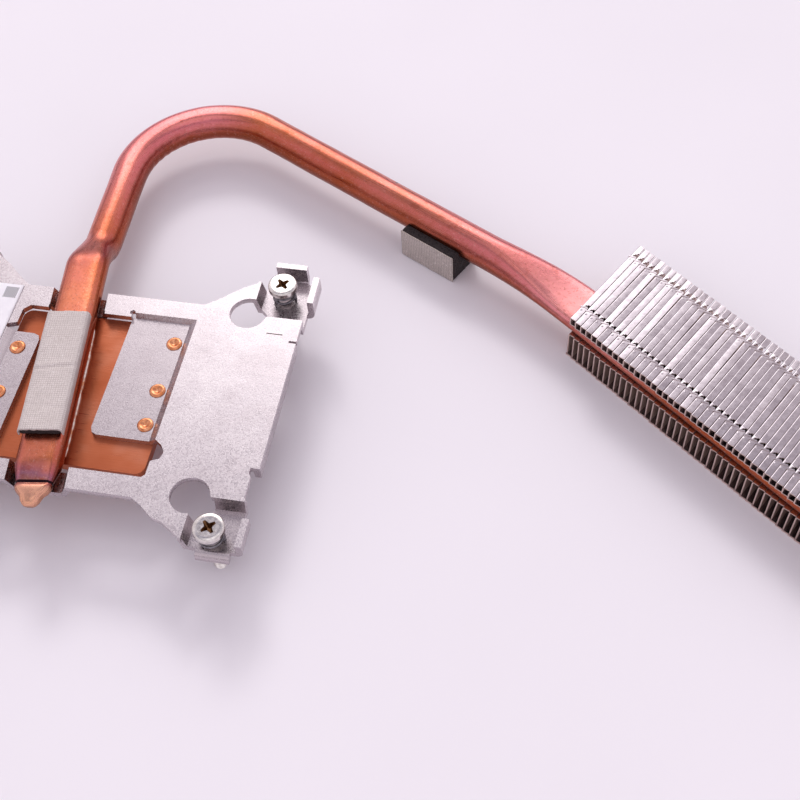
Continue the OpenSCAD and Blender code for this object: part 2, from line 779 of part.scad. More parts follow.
mounting_bracket();
cold_plate();
rivets();
heat_pipe();
fins();
pipe_pad_foam();
pipe_pad_fabric();
side_pad_foam();
side_pad_fabric();
label();
screws_at(0);  // screw_right_rear
screws_at(1);  // screw_right_front
screws_at(2);  // screw_left_rear
screws_at(3);  // screw_left_front
springs_at(0);  // spring_right_rear
springs_at(1);  // spring_right_front
springs_at(2);  // spring_left_rear
springs_at(3);  // spring_left_front
clips_at(0);  // clip_right_rear
clips_at(1);  // clip_right_front
clips_at(2);  // clip_left_rear
clips_at(3);  // clip_left_front
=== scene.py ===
# %% [markdown]
# Laptop CPU cooler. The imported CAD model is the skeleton: every Blender piece is built in the same
# metres and the same frame, rides on a CAD body, and stands for the CAD node that it dresses.
# The CAD box is kept at once, because the dressed model has to stay inside it.

# %% Load the frame
import bpy, bmesh, math, random
from mathutils import Matrix, Vector, noise


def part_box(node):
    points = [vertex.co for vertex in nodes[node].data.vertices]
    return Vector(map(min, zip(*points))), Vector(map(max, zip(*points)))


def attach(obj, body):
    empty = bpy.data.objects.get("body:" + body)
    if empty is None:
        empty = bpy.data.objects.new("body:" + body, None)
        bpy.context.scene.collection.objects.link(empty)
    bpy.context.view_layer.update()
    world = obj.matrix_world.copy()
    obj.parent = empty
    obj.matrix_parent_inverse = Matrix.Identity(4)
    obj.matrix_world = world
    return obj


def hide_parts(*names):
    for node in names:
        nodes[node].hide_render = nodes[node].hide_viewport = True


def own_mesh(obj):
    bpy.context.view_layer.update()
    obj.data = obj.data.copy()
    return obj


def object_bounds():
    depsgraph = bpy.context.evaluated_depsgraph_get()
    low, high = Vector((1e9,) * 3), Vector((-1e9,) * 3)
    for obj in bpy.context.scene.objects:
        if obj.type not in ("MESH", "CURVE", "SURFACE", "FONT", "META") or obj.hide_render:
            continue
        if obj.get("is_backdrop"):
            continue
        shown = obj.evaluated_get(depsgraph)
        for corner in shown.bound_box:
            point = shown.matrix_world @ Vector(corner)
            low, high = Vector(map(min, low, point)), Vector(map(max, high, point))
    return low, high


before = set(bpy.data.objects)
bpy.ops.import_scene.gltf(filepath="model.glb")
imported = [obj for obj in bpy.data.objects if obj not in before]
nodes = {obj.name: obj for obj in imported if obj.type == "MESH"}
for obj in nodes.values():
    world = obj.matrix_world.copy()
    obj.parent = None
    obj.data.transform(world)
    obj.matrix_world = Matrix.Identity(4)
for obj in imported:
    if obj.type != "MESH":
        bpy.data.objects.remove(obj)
cad_low, cad_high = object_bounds()
MM = 0.001
TAU = 2 * math.pi
scene = bpy.context.scene
print("nodes", len(nodes), "box mm", [round((b - a) / MM, 1) for a, b in zip(cad_low, cad_high)])

# %% [markdown]
# Colours are picked as sRGB hex values, but shaders work in linear light. One function does the
# conversion, and one small helper adds a node with its settings and links, so that each material
# below reads as a short list of steps.

# %% Colour and node helpers
def hex_rgba(code):
    """Turns an sRGB hex value into linear RGBA."""
    values = [int(code[i:i + 2], 16) / 255 for i in (1, 3, 5)]
    return [v / 12.92 if v <= 0.04045 else ((v + 0.055) / 1.055) ** 2.4 for v in values] + [1.0]


def add(tree, kind, settings=None, **links):
    """Adds a node. Settings are attributes or input values, links name an input and its source."""
    node = tree.nodes.new("ShaderNode" + kind)
    for name, value in (settings or {}).items():
        if hasattr(node, name):
            setattr(node, name, value)
        else:
            node.inputs[int(name[2:]) if name.startswith("in") else name].default_value = value
    for name, source in links.items():
        key = int(name[2:]) if name.startswith("in") else name.replace("_", " ")
        tree.links.new(source, node.inputs[key])
    return node


def ramp(tree, source, stops):
    """A colour ramp from (position, hex) stops."""
    node = add(tree, "ValToRGB", Fac=source)
    band = node.color_ramp.elements
    while len(band) < len(stops):
        band.new(0.5)
    for element, (place, code) in zip(band, stops):
        element.position = place
        element.color = hex_rgba(code)
    return node.outputs["Color"]


def blend(tree, factor, a, b, way="MIX"):
    """Mixes two colours; a and b are sockets or hex values, the factor a socket or a number."""
    node = add(tree, "Mix", {"data_type": "RGBA", "blend_type": way})
    for place, value in ((0, factor), (6, a), (7, b)):
        if isinstance(value, str):
            node.inputs[place].default_value = hex_rgba(value)
        elif isinstance(value, (int, float)):
            node.inputs[place].default_value = value
        else:
            tree.links.new(value, node.inputs[place])
    return node.outputs[2]


def material(name, metallic, roughness, **sockets):
    """A new material with its principled shader. Returns the material, its tree and the shader."""
    mat = bpy.data.materials.new(name)
    mat.use_nodes = True
    shader = mat.node_tree.nodes["Principled BSDF"]
    shader.inputs["Metallic"].default_value = metallic
    shader.inputs["Roughness"].default_value = roughness
    for socket, value in sockets.items():
        shader.inputs[socket.replace("_", " ")].default_value = value
    return mat, mat.node_tree, shader


def place_mm(tree, stretch=(1, 1, 1)):
    """Object coordinates in millimetres, so that a noise scale of 1 is one feature a millimetre."""
    place = add(tree, "TexCoord").outputs["Object"]
    return add(tree, "Mapping", {"Scale": [1000 * k for k in stretch]}, Vector=place).outputs["Vector"]


def grain(tree, where, scale, detail=2.0, rough=0.5):
    """Noise between 0 and 1 at a scale in features per unit of the coordinates."""
    return add(tree, "TexNoise", {"Scale": scale, "Detail": detail, "Roughness": rough},
               Vector=where).outputs["Fac"]


def bump(tree, shader, height, strength, distance_mm):
    """Adds a bump to the shader's normal; a second call is laid on top of the first."""
    node = add(tree, "Bump", {"Strength": strength, "Distance": distance_mm * MM}, Height=height)
    before = shader.inputs["Normal"].links
    if before:
        tree.links.new(before[0].from_socket, node.inputs["Normal"])
    tree.links.new(node.outputs["Normal"], shader.inputs["Normal"])


def span(tree, source, low, high, to_low=0.0, to_high=1.0):
    """Maps one range of numbers to another, held at its ends."""
    return add(tree, "MapRange", {"in1": low, "in2": high, "in3": to_low, "in4": to_high},
               in0=source).outputs[0]


# %% [markdown]
# The photograph looks down at the table from the front right. The lens and the place were solved
# from measured corners of the bracket and the stack, so the camera is set by numbers.

# %% Camera
LENS_MM, SENSOR_MM = 56.0, 36.0
CAMERA_AT = (0.07683, -0.10038, 0.15771)
CAMERA_ACROSS = (0.98225, 0.18135, -0.04788)
CAMERA_UP = (-0.12220, 0.81241, 0.57014)
CAMERA_BACK = (0.14229, -0.55417, 0.82015)
camera = bpy.data.objects.new("camera", bpy.data.cameras.new("camera"))
scene.collection.objects.link(camera)
camera.data.lens, camera.data.sensor_width = LENS_MM, SENSOR_MM
camera.data.clip_start = 0.005
facing = Matrix((CAMERA_ACROSS, CAMERA_UP, CAMERA_BACK)).transposed().to_4x4()
camera.matrix_world = Matrix.Translation(CAMERA_AT) @ facing
scene.camera = camera
scene.view_settings.view_transform = "Standard"
print("camera", tuple(round(v, 3) for v in camera.location))

# %% [markdown]
# Tubes, turned parts and sheets are all rings or rows of points, so a few small functions join them.

# %% Mesh helpers
def new_object(name, mesh):
    obj = bpy.data.objects.new(name, mesh)
    scene.collection.objects.link(obj)
    return obj


def mesh_from(name, verts, faces, smooth=True):
    """A mesh from points in millimetres."""
    mesh = bpy.data.meshes.new(name)
    mesh.from_pydata([tuple(c * MM for c in v) for v in verts], [], faces)
    mesh.update()
    if smooth:
        mesh.shade_smooth()
    return mesh


def outward(mesh):
    """Turns every face outwards."""
    work = bmesh.new()
    work.from_mesh(mesh)
    bmesh.ops.recalc_face_normals(work, faces=work.faces)
    work.to_mesh(mesh)
    work.free()
    return mesh


def set_uv(mesh, name, uv):
    """A UV map from one pair of numbers a point."""
    layer = mesh.uv_layers.new(name=name)
    for loop in mesh.loops:
        layer.data[loop.index].uv = uv[loop.vertex_index]


def grid_faces(rows, cols):
    """Faces of a grid of points that run along its columns first."""
    w = cols + 1
    return [(i * w + j, i * w + j + 1, (i + 1) * w + j + 1, (i + 1) * w + j)
            for i in range(rows) for j in range(cols)]


def tube_faces(steps, sides):
    """Faces of a tube through rings of points, with both ends closed."""
    faces = []
    for i in range(steps):
        for k in range(sides):
            n = (k + 1) % sides
            faces.append((i * sides + k, (i + 1) * sides + k, (i + 1) * sides + n, i * sides + n))
    return faces + [tuple(range(sides)), tuple(range(steps * sides, (steps + 1) * sides))[::-1]]


def lathe_faces(base, steps, sides):
    """Faces between rings of points that were turned round an axis."""
    faces = []
    for i in range(steps):
        a, b = base + i * sides, base + (i + 1) * sides
        for k in range(sides):
            n = (k + 1) % sides
            faces.append((a + k, a + n, b + n, b + k))
    return faces


# %% [markdown]
# A sheet of pale paper lies under the cooler, tilted a little, because the real cooler leans on its
# fins and its left screws.

# %% Paper floor
FLOOR_GAP, TIP_GAP = 0.02, 0.05
FLOOR_Z = cad_low[2] / MM - FLOOR_GAP
FLOOR_FROM, FLOOR_TO = -700, 900
SCREW_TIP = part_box("screw_left_front")[0]
FIN_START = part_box("fins")[0]
FLOOR_RISE = max(0.0, SCREW_TIP.z / MM - TIP_GAP - FLOOR_Z) / (FIN_START.x - SCREW_TIP.x) * MM


def floor_point(x, y):
    return (x, y, FLOOR_Z + FLOOR_RISE * (FIN_START.x / MM - x))


floor_corners = [floor_point(x, y) for x, y in (
    (FLOOR_FROM, FLOOR_FROM), (FLOOR_TO, FLOOR_FROM), (FLOOR_TO, FLOOR_TO), (FLOOR_FROM, FLOOR_TO))]
floor = new_object("paper_floor", mesh_from("paper_floor", floor_corners, [(0, 1, 2, 3)], False))
floor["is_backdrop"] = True
paper, tree, shader = material("pale_paper", 0.0, 0.75)
where = place_mm(tree)
tree.links.new(ramp(tree, grain(tree, where, 0.012, 3), [(0.3, "#EDE9EF"), (0.7, "#F1EDF3")]),
               shader.inputs["Base Color"])
bump(tree, shader, grain(tree, where, 2.0, 3), 0.15, 0.05)
floor.data.materials.append(paper)
print("floor z", round(FLOOR_Z, 2), "screw tip z", round(SCREW_TIP.z / MM, 2), "rise", round(FLOOR_RISE, 4))

# %% [markdown]
# One soft lamp beyond the top left of the view throws the shadows down and to the right. The metals
# mirror the world instead: grey walls that darken near the table, a dim ceiling with a paler middle,
# and one bright window on the lamp's side.

# %% Lamp and room
LOOK_AT = Vector((0.05, 0.01, 0.0))
LAMP_AT = LOOK_AT + 2.0 * Vector((-0.30, 0.78, 0.55))
LAMP_SIZE, LAMP_WATTS = (0.55, 0.35), 12.5
data = bpy.data.lights.new("window_lamp", "AREA")
data.shape, data.energy = "RECTANGLE", LAMP_WATTS
data.size, data.size_y = LAMP_SIZE
data.color = hex_rgba("#FFFCFC")[:3]
lamp = new_object("window_lamp", data)
lamp.location = LAMP_AT
lamp.rotation_euler = (LOOK_AT - LAMP_AT).to_track_quat("-Z", "Y").to_euler()
# metals get the window from the world below, so the lamp itself is left out of their reflections
lamp.visible_glossy = False

WINDOW_WAY = (-0.168, 0.791, 0.588)
WINDOW_EDGE = (0.938, 0.964)  # cosines of the angle from the window's middle
WALL_RISE, CEILING, ZENITH = (0.05, 0.26), (0.82, 0.87), (0.90, 0.95)  # sines of the elevation
WORLD_STRENGTH = 2.9
world = bpy.data.worlds.new("soft_room")
scene.world = world
world.use_nodes = True
tree = world.node_tree
direction = add(tree, "TexCoord").outputs["Generated"]
up_part = add(tree, "SeparateXYZ", Vector=direction).outputs["Z"]
towards = add(tree, "VectorMath", {"operation": "DOT_PRODUCT"}, in0=direction)
towards.inputs[1].default_value = WINDOW_WAY
walls = ramp(tree, span(tree, towards.outputs["Value"], -0.9, 0.9),
             [(0.0, "#A29DA2"), (0.5, "#8E898E"), (1.0, "#908A8E")])
room = blend(tree, span(tree, up_part, *WALL_RISE), "#4D464A", walls)
room = blend(tree, span(tree, up_part, *CEILING), room, "#5A5863")
room = blend(tree, span(tree, up_part, *ZENITH), room, "#9C989C")
room = blend(tree, span(tree, towards.outputs["Value"], *WINDOW_EDGE), room, "#FFFCFD")
tree.links.new(room, tree.nodes["Background"].inputs["Color"])
tree.nodes["Background"].inputs["Strength"].default_value = WORLD_STRENGTH
print("lamps", len(bpy.data.lights), "world", world.name)

# %% [markdown]
# The bracket is zinc-plated sheet steel, rolled, then stamped. Plating gives a fine sparkling grain
# of small crystals and faint stains. Crystals are about 0.1 mm; they are drawn at 0.2 mm so that
# they show. A plated surface is a metal, fairly smooth, and rougher from one crystal to the next.

# %% Zinc-plated sheet steel
CRYSTALS_PER_MM = 4.8  # drawn coarser than the real 10
FLAT_TO_FLAP_Z = (2.9, 2.55)
# place of a painted shadow line on the bracket
SHADE_LINE_X, SHADE_LINE_Y = (28.1, 1.3), (13.4, 0.09)  # middle and half length or half width
zinc, tree, shader = material("zinc_plated_sheet_steel", 1.0, 0.42)
where = place_mm(tree)
crystals = add(tree, "TexVoronoi", {"Scale": CRYSTALS_PER_MM}, Vector=where)
stain = grain(tree, where, 0.16, 4, 0.6)
fine = grain(tree, where, 3.2, 2)
base = ramp(tree, stain, [(0.25, "#D2C8CB"), (0.5, "#DAD1D4"), (0.75, "#E2DADC")])
sparkle = span(tree, crystals.outputs["Color"], 0.0, 1.0, 0.90, 1.08)
base = blend(tree, 0.75, base, sparkle, "MULTIPLY")
base = blend(tree, span(tree, fine, 0.62, 0.75, 0.0, 0.5), base, "#9A8F94")
spot = add(tree, "SeparateXYZ", Vector=where)
# painted shade: the lowered flaps and the seats, which lie below the flat, are darkened
base = blend(tree, span(tree, spot.outputs["Z"], *FLAT_TO_FLAP_Z, 0.0, 0.45), base, "#A89DA2")
# painted shadow: a thin dark line near the right rear ear, along the step from the flat down to the seat
in_x, in_y = [add(tree, "Math", {"operation": "COMPARE", "in1": middle, "in2": half},
                  in0=spot.outputs[axis]).outputs[0]
              for axis, (middle, half) in (("X", SHADE_LINE_X), ("Y", SHADE_LINE_Y))]
shade_line = add(tree, "Math", {"operation": "MULTIPLY"}, in0=in_x, in1=in_y)
base = blend(tree, shade_line.outputs[0], base, "#4A3C3A")
tree.links.new(base, shader.inputs["Base Color"])
tree.links.new(span(tree, crystals.outputs["Color"], 0.0, 1.0, 0.20, 0.38), shader.inputs["Roughness"])
bump(tree, shader, crystals.outputs["Color"], 0.14, 0.05)
bump(tree, shader, grain(tree, where, 0.2, 2), 0.12, 0.25)

# %% [markdown]
# The cold plate is copper milled flat, with fine tool lines; the pipe is drawn copper tube that was
# soldered in an oven, so it is heat tinted: pink and orange, darker where flux burned on, violet and
# gold at the pinched tip. Painted light is mixed in: a painted highlight along the tube's top, painted
# shade on its sides and underside, at the jog and in the crimp groove, and a painted reflection that
# darkens the stretch after the big bend. A UV map gives the millimetres along the tube, which places the
# tints.

# %% Copper finishes
plate_copper, tree, shader = material("milled_copper", 1.0, 0.34)
where = place_mm(tree)
lines = grain(tree, place_mm(tree, (0.25, 9, 1)), 1.0, 3)
base = ramp(tree, grain(tree, where, 0.12, 3), [(0.3, "#B05E3E"), (0.55, "#C06E4E"), (0.75, "#CE866A")])
base = blend(tree, span(tree, lines, 0.45, 0.75, 0.0, 0.35), base, "#B05A34")
tree.links.new(base, shader.inputs["Base Color"])
tree.links.new(span(tree, lines, 0.3, 0.7, 0.26, 0.42), shader.inputs["Roughness"])
bump(tree, shader, lines, 0.2, 0.03)


def mottled_metal(name, roughness, spots, stops, bumps=None):
    """A metal of uneven colour. Spots are scale and detail, bumps also strength and depth in mm."""
    mat, tree, shader = material(name, 1.0, roughness)
    where = place_mm(tree)
    tree.links.new(ramp(tree, grain(tree, where, *spots), stops), shader.inputs["Base Color"])
    if bumps:
        bump(tree, shader, grain(tree, where, *bumps[:2]), *bumps[2:])
    return mat, tree, shader


rivet_copper = mottled_metal("headed_copper_rivet", 0.24, (1.4, 3), [(0.3, "#D9814F"), (0.7, "#F0AD84")],
                             (5.0, 2, 0.15, 0.03))[0]

PIPE_LEN_MM = 244.0
# painted light in this table: the dark stops at 3.9 and 47.5 mm are painted shade in the crimp groove and
# where the tube's top tips away down the jog; the darker stops at 101 and 118 mm are a painted reflection of
# darker surroundings; the rest is heat tint
TINTS_AND_SHADE = [  # millimetres from the tip, and the tint that the oven left there
    (0, "#E0A868"), (2.6, "#E0A490"), (3.2, "#E8B48C"), (3.9, "#3A2230"), (4.7, "#54507E"),
    (5.5, "#8A4A66"), (6.4, "#B8653E"), (12, "#CC6E48"), (30, "#D46E48"), (38, "#DE8450"),
    (44, "#C8683A"), (47.5, "#8E4440"), (51, "#A4504A"), (55, "#CC6C48"), (66, "#D87A70"),
    (80, "#E27F88"), (92, "#E2848C"), (101, "#BC6238"), (118, "#B05430"), (135, "#BE6A54"),
    (150, "#C87274"), (160, "#DC8286"), (168, "#F6A4AA"), (184, "#FAA6A6"), (190, "#E89480"),
    (193, "#A8562C")]
# painted light: around the tube a painted highlight band lies near the top, with painted shade on the sides
# and the underside
ROUND_LIGHT_AND_SHADE = [  # share of the way round the tube, from its right side over its top
    (0.0, "#8A3E24"), (0.08, "#A84E30"), (0.14, "#D8706C"), (0.20, "#E08A60"), (0.25, "#E8907C"),
    (0.32, "#E88A88"), (0.40, "#B85C30"), (0.5, "#84421F"), (1.0, "#8A3E24")]
# the crimp line is painted shade in the groove; the pen line is a real mark
CRIMP_LINE, PEN_LINE, PEN_ROUND = (3.7, 0.2), (131.4, 0.2), (0.40, 0.07)  # middle and half width


def pipe_material():
    mat, tree, shader = material("heat_tinted_drawn_copper_tube", 1.0, 0.27)
    uv = add(tree, "UVMap", {"uv_map": "tube"}).outputs["UV"]
    parts = add(tree, "SeparateXYZ", Vector=uv)
    s_mm = parts.outputs["X"]
    where = place_mm(tree)
    blotch = grain(tree, where, 0.14, 4, 0.62)
    wobble = add(tree, "Math", {"operation": "MULTIPLY_ADD", "in1": 6.0}, in0=blotch, in2=s_mm).outputs[0]
    along = span(tree, wobble, 3.0, PIPE_LEN_MM + 3.0)
    # heat tint and painted shade laid along the tube
    base = ramp(tree, along, [(s / PIPE_LEN_MM, code) for s, code in TINTS_AND_SHADE])
    base = blend(tree, span(tree, blotch, 0.35, 0.7, 0.0, 0.30), base, "#E58A94")
    # painted highlight and painted shade around the tube
    base = blend(tree, 0.32, base, ramp(tree, parts.outputs["Y"], ROUND_LIGHT_AND_SHADE))
    # painted shade: the tube's sides and underside are darkened further, with a ragged edge
    quarter_on = add(tree, "Math", {"operation": "ADD", "in1": 0.25}, in0=parts.outputs["Y"]).outputs[0]
    turn = add(tree, "Math", {"operation": "PINGPONG", "in1": 0.5}, in0=quarter_on).outputs[0]
    ragged_side_shade = add(tree, "Math", {"operation": "MULTIPLY_ADD", "in1": 0.10},
                 in0=grain(tree, where, 0.7, 3), in2=turn).outputs[0]
    base = blend(tree, span(tree, ragged_side_shade, 0.42, 0.30, 0.0, 0.85), base, "#984A28")
    for spots, low, high, share, code in (((0.5, 4, 0.7), 0.56, 0.72, 0.45, "#A8482A"),
                                          ((2.6, 3), 0.56, 0.68, 0.35, "#9A4A30"),
                                          ((3.4, 2), 0.60, 0.70, 0.25, "#F4C0B4")):
        base = blend(tree, span(tree, grain(tree, where, *spots), low, high, 0.0, share), base, code)
    crimp, pen_along, pen_round = [
        add(tree, "Math", {"operation": "COMPARE", "in1": middle, "in2": half}, in0=source).outputs[0]
        for source, (middle, half) in ((s_mm, CRIMP_LINE), (s_mm, PEN_LINE), (parts.outputs["Y"], PEN_ROUND))]
    # painted shade: the crimp groove is darkened
    base = blend(tree, crimp, base, "#2E1C22")
    base = blend(tree, span(tree, s_mm, 3.2, 2.6, 0.0, 0.6), base, "#F2BC9C")
    pen_mark = add(tree, "Math", {"operation": "MULTIPLY"}, in0=pen_along, in1=pen_round)
    base = blend(tree, pen_mark.outputs[0], base, "#3A2028")
    tree.links.new(base, shader.inputs["Base Color"])
    stretched = add(tree, "Mapping", {"Scale": (0.12, 60, 1)}, Vector=uv).outputs["Vector"]
    drawn = grain(tree, stretched, 1.0, 3)
    tree.links.new(span(tree, drawn, 0.3, 0.7, 0.20, 0.34), shader.inputs["Roughness"])
    bump(tree, shader, drawn, 0.22, 0.04)
    bump(tree, shader, grain(tree, where, 1.1, 3), 0.25, 0.08)
    return mat


pipe_copper = pipe_material()
print("copper finishes", plate_copper.name, rivet_copper.name, pipe_copper.name)

# %% [markdown]
# Fins are rolled aluminium strip, bright and slightly wavy. Each takes its own tone from its place
# along the stack, since no two folded sheets lie quite alike.

# %% Aluminium, nickel plate, spring wire, solder
aluminium, tree, shader = material("rolled_aluminium_strip", 1.0, 0.26)
where = place_mm(tree)
base = ramp(tree, grain(tree, where, 0.9, 2), [(0.3, "#B4ABB1"), (0.7, "#CCC4C9")])
facing = add(tree, "SeparateXYZ", Vector=add(tree, "NewGeometry").outputs["Normal"]).outputs["Z"]
upright = add(tree, "Math", {"operation": "ABSOLUTE"}, in0=facing).outputs[0]
# painted reflection: upright faces of the fins, the webs and cut edges, are tinted a warmer brownish grey
# than the flat tops
tree.links.new(blend(tree, span(tree, upright, 0.5, 0.2), base, "#D6C2BA"), shader.inputs["Base Color"])
smooth_tops = span(tree, grain(tree, where, 0.5, 3), 0.3, 0.7, 0.12, 0.22)
dull_webs = add(tree, "Math", {"operation": "MULTIPLY_ADD", "in1": 0.45},
                in0=span(tree, upright, 0.5, 0.2), in2=smooth_tops)
tree.links.new(dull_webs.outputs[0], shader.inputs["Roughness"])
bump(tree, shader, grain(tree, place_mm(tree, (1, 1, 0.3)), 1.2, 1), 0.12, 0.05)

nickel, tree, shader = mottled_metal("polished_nickel_plate", 0.16, (1.5, 3),
                                     [(0.3, "#D9D3CE"), (0.7, "#F4F0EC")])
handled = span(tree, grain(tree, place_mm(tree), 2.5, 3), 0.35, 0.7, 0.10, 0.26)
tree.links.new(handled, shader.inputs["Roughness"])
# painted shade: the cross recess in each screw head is coloured dark brown
recess_painted_shade = mottled_metal("oiled_recess_steel", 0.42, (3.0, 3), [(0.3, "#5A3A24"), (0.7, "#9A7450")])[0]
wire_steel = mottled_metal("drawn_spring_wire", 0.30, (2.0, 3), [(0.3, "#5C5A60"), (0.7, "#A09CA2")],
                           (6.0, 2, 0.2, 0.02))[0]
solder = mottled_metal("tin_solder", 0.30, (0.8, 4), [(0.35, "#C98A6A"), (0.55, "#E4D4CC"), (0.8, "#F5EEEC")],
                       (2.0, 3, 0.5, 0.08))[0]
print("metals", aluminium.name, nickel.name, recess_painted_shade.name, wire_steel.name, solder.name)

# %% [markdown]
# The pads are open foam wrapped in conductive fabric: a plain weave of metallised thread. Real
# threads lie about 0.12 mm apart; they are drawn at 0.36 mm so that the weave shows.

# %% Foam, fabric, label film
THREAD_MM = 0.36  # drawn coarser than the real 0.12
WAVE_PER_TURN = 0.314  # a wave texture's scale for one thread a millimetre


def weave_material(name, light, dark, metallic):
    mat, tree, shader = material(name, metallic, 0.62, Sheen_Weight=0.2)
    uv = add(tree, "UVMap", {"uv_map": "cloth"}).outputs["UV"]
    wobble = add(tree, "TexNoise", {"Scale": 0.7, "Detail": 2.0}, Vector=uv).outputs["Color"]
    uv = blend(tree, 0.05, uv, wobble, "ADD")
    warp, weft = [add(tree, "TexWave", {"bands_direction": axis, "Scale": WAVE_PER_TURN / THREAD_MM},
                      Vector=uv).outputs["Fac"] for axis in "XY"]
    threads = add(tree, "Math", {"operation": "MULTIPLY"}, in0=warp, in1=weft).outputs[0]
    where = place_mm(tree)
    speck = grain(tree, where, 3.4, 2)
    uneven = add(tree, "Math", {"operation": "MULTIPLY_ADD", "in1": 0.9}, in0=speck, in2=threads).outputs[0]
    base = ramp(tree, uneven, [(0.30, dark), (0.95, light)])
    base = blend(tree, span(tree, grain(tree, where, 0.35, 4, 0.6), 0.4, 0.8, 0.0, 0.35), base, dark)
    base = blend(tree, span(tree, grain(tree, where, 2.6, 2), 0.62, 0.75, 0.0, 0.5), base, "#F2EEEC")
    tree.links.new(base, shader.inputs["Base Color"])
    bump(tree, shader, uneven, 0.5, 0.07)
    return mat


pad_fabric = weave_material("metallised_polyester_weave", "#E2D9D6", "#BDB2AE", 0.30)
# painted shade: the side block's cloth faces the front, away from the lamp, and gets a darker copy of the
# pad's weave
shaded_block_fabric = weave_material("shaded_metallised_weave", "#CFC3BC", "#8E847E", 0.25)

foam, tree, shader = material("open_cell_urethane_foam", 0.0, 0.95)
where = place_mm(tree)
cells = add(tree, "TexVoronoi", {"Scale": 3.2}, Vector=where).outputs["Distance"]
base = ramp(tree, cells, [(0.1, "#0E0A0C"), (0.6, "#332C2E")])
tree.links.new(base, shader.inputs["Base Color"])
bump(tree, shader, cells, 0.8, 0.2)

PATCH = {"X": (4.6, 6.8), "Y": (19.2, 21.4)}  # millimetres from the label's corner
film, tree, shader = material("matt_label_film", 0.0, 0.5)
uv = add(tree, "UVMap", {"uv_map": "label"}).outputs["UV"]
ink, blank_film = hex_rgba("#2C2A30"), hex_rgba("#EDEAF0")
squares = add(tree, "TexChecker", {"Scale": 5.0, "Color1": ink, "Color2": blank_film},
              Vector=uv).outputs["Color"]
parts = add(tree, "SeparateXYZ", Vector=uv)
edges = [span(tree, parts.outputs[axis], place, place + 0.001, *ends)
         for axis, (low, high) in PATCH.items() for place, ends in ((low, (0.0, 1.0)), (high, (1.0, 0.0)))]
patch = edges[0]
for edge in edges[1:]:
    patch = add(tree, "Math", {"operation": "MULTIPLY"}, in0=patch, in1=edge).outputs[0]
paper_tone = ramp(tree, grain(tree, place_mm(tree), 0.5, 3), [(0.3, "#EBE8EF"), (0.7, "#F6F3F8")])
tree.links.new(blend(tree, patch, paper_tone, squares), shader.inputs["Base Color"])
print("soft finishes", pad_fabric.name, foam.name, film.name)

# %% [markdown]
# Stamped and milled pieces keep the CAD shape, but a real edge is never sharp: the CAD mesh is
# copied, its flat faces are merged, and a small bevel runs along every edge that has room for it.
# On the bracket the clamp keeps it very narrow. This keeps holes and bends where the CAD has them.

# %% Beveled copies of rigid CAD nodes
def finish_piece(piece, body, slot, mat, *replaced):
    """Dresses a piece: its material, the body that it rides on and the nodes it stands for. The slot is not
    used.
    """
    if mat:
        piece.data.materials.clear()
        piece.data.materials.append(mat)
    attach(piece, body)
    if replaced:
        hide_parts(*replaced)
    return piece


def weigh_normals(piece, keep_sharp):
    """Keeps flat faces flat in smooth shading, so that each mirrors one direction."""
    flat = piece.modifiers.new("flat_faces", "WEIGHTED_NORMAL")
    flat.weight, flat.keep_sharp = 90, keep_sharp


MERGE_M, FLAT_DEG, EDGE_DEG = 2e-6, 0.4, 24


def beveled_copy(node, name, width_mm):
    mesh = nodes[node].data.copy()
    mesh.name = name
    work = bmesh.new()
    work.from_mesh(mesh)
    bmesh.ops.remove_doubles(work, verts=work.verts, dist=MERGE_M)
    bmesh.ops.dissolve_limit(work, angle_limit=math.radians(FLAT_DEG), verts=work.verts, edges=work.edges)
    work.to_mesh(mesh)
    work.free()
    mesh.shade_smooth()
    mesh.set_sharp_from_angle(angle=math.radians(EDGE_DEG))
    piece = new_object(name, mesh)
    edge = piece.modifiers.new("edge", "BEVEL")
    edge.width, edge.segments, edge.use_clamp_overlap = width_mm * MM, 2, True
    edge.limit_method, edge.angle_limit = "ANGLE", math.radians(EDGE_DEG)
    weigh_normals(piece, False)
    return piece


bracket = finish_piece(beveled_copy("mounting_bracket", "bracket", 0.12), "cooler", "zinc_plated_steel",
                       zinc, "mounting_bracket")
finish_piece(beveled_copy("cold_plate", "copper_cold_plate", 0.12), "cooler", "copper_plate",
             plate_copper, "cold_plate")
SCREW_AT = {"right_rear": (27.4, 22.5), "right_front": (27.4, -22.5),
            "left_rear": (-26.6, 22.5), "left_front": (-26.6, -22.5)}
for corner in SCREW_AT:
    finish_piece(beveled_copy("clip_" + corner, "retaining_ring_" + corner, 0.05), "clip_" + corner,
                 "spring_steel", wire_steel, "clip_" + corner)
print("bracket faces", len(bracket.data.polygons))

# %% [markdown]
# A rivet's head is formed by a punch with a small point, which leaves a low round rim and a dimple.
# Each is turned from one outline, like the punch itself.

# %% Rivets
RIVETS = [(12.45, y) for y in (9.8, 0.6, -5.8)] + [(-12.45, y) for y in (5.5, -3.3, -9.8)]
RIVET_SIDES = 40
HEAD_OUTLINE = [(1.26, 2.52), (1.28, 2.57), (1.22, 2.66), (1.06, 2.74), (0.88, 2.77), (0.70, 2.74),
                (0.52, 2.66), (0.36, 2.57), (0.20, 2.50), (0.08, 2.47), (0.0, 2.46)]
verts, faces = [], []
for x, y in RIVETS:
    faces += lathe_faces(len(verts), len(HEAD_OUTLINE) - 1, RIVET_SIDES)
    for r, z in HEAD_OUTLINE:
        for k in range(RIVET_SIDES):
            a = TAU * k / RIVET_SIDES
            off = 1 + 0.02 * noise.noise(Vector((math.cos(a) + x, math.sin(a) + y, z)))
            verts.append((x + r * off * math.cos(a), y + r * off * math.sin(a), z))
finish_piece(new_object("rivet_heads", mesh_from("rivet_heads", verts, faces)), "cooler",
             "copper_rivet", rivet_copper, "rivets")
print("rivets", len(RIVETS))

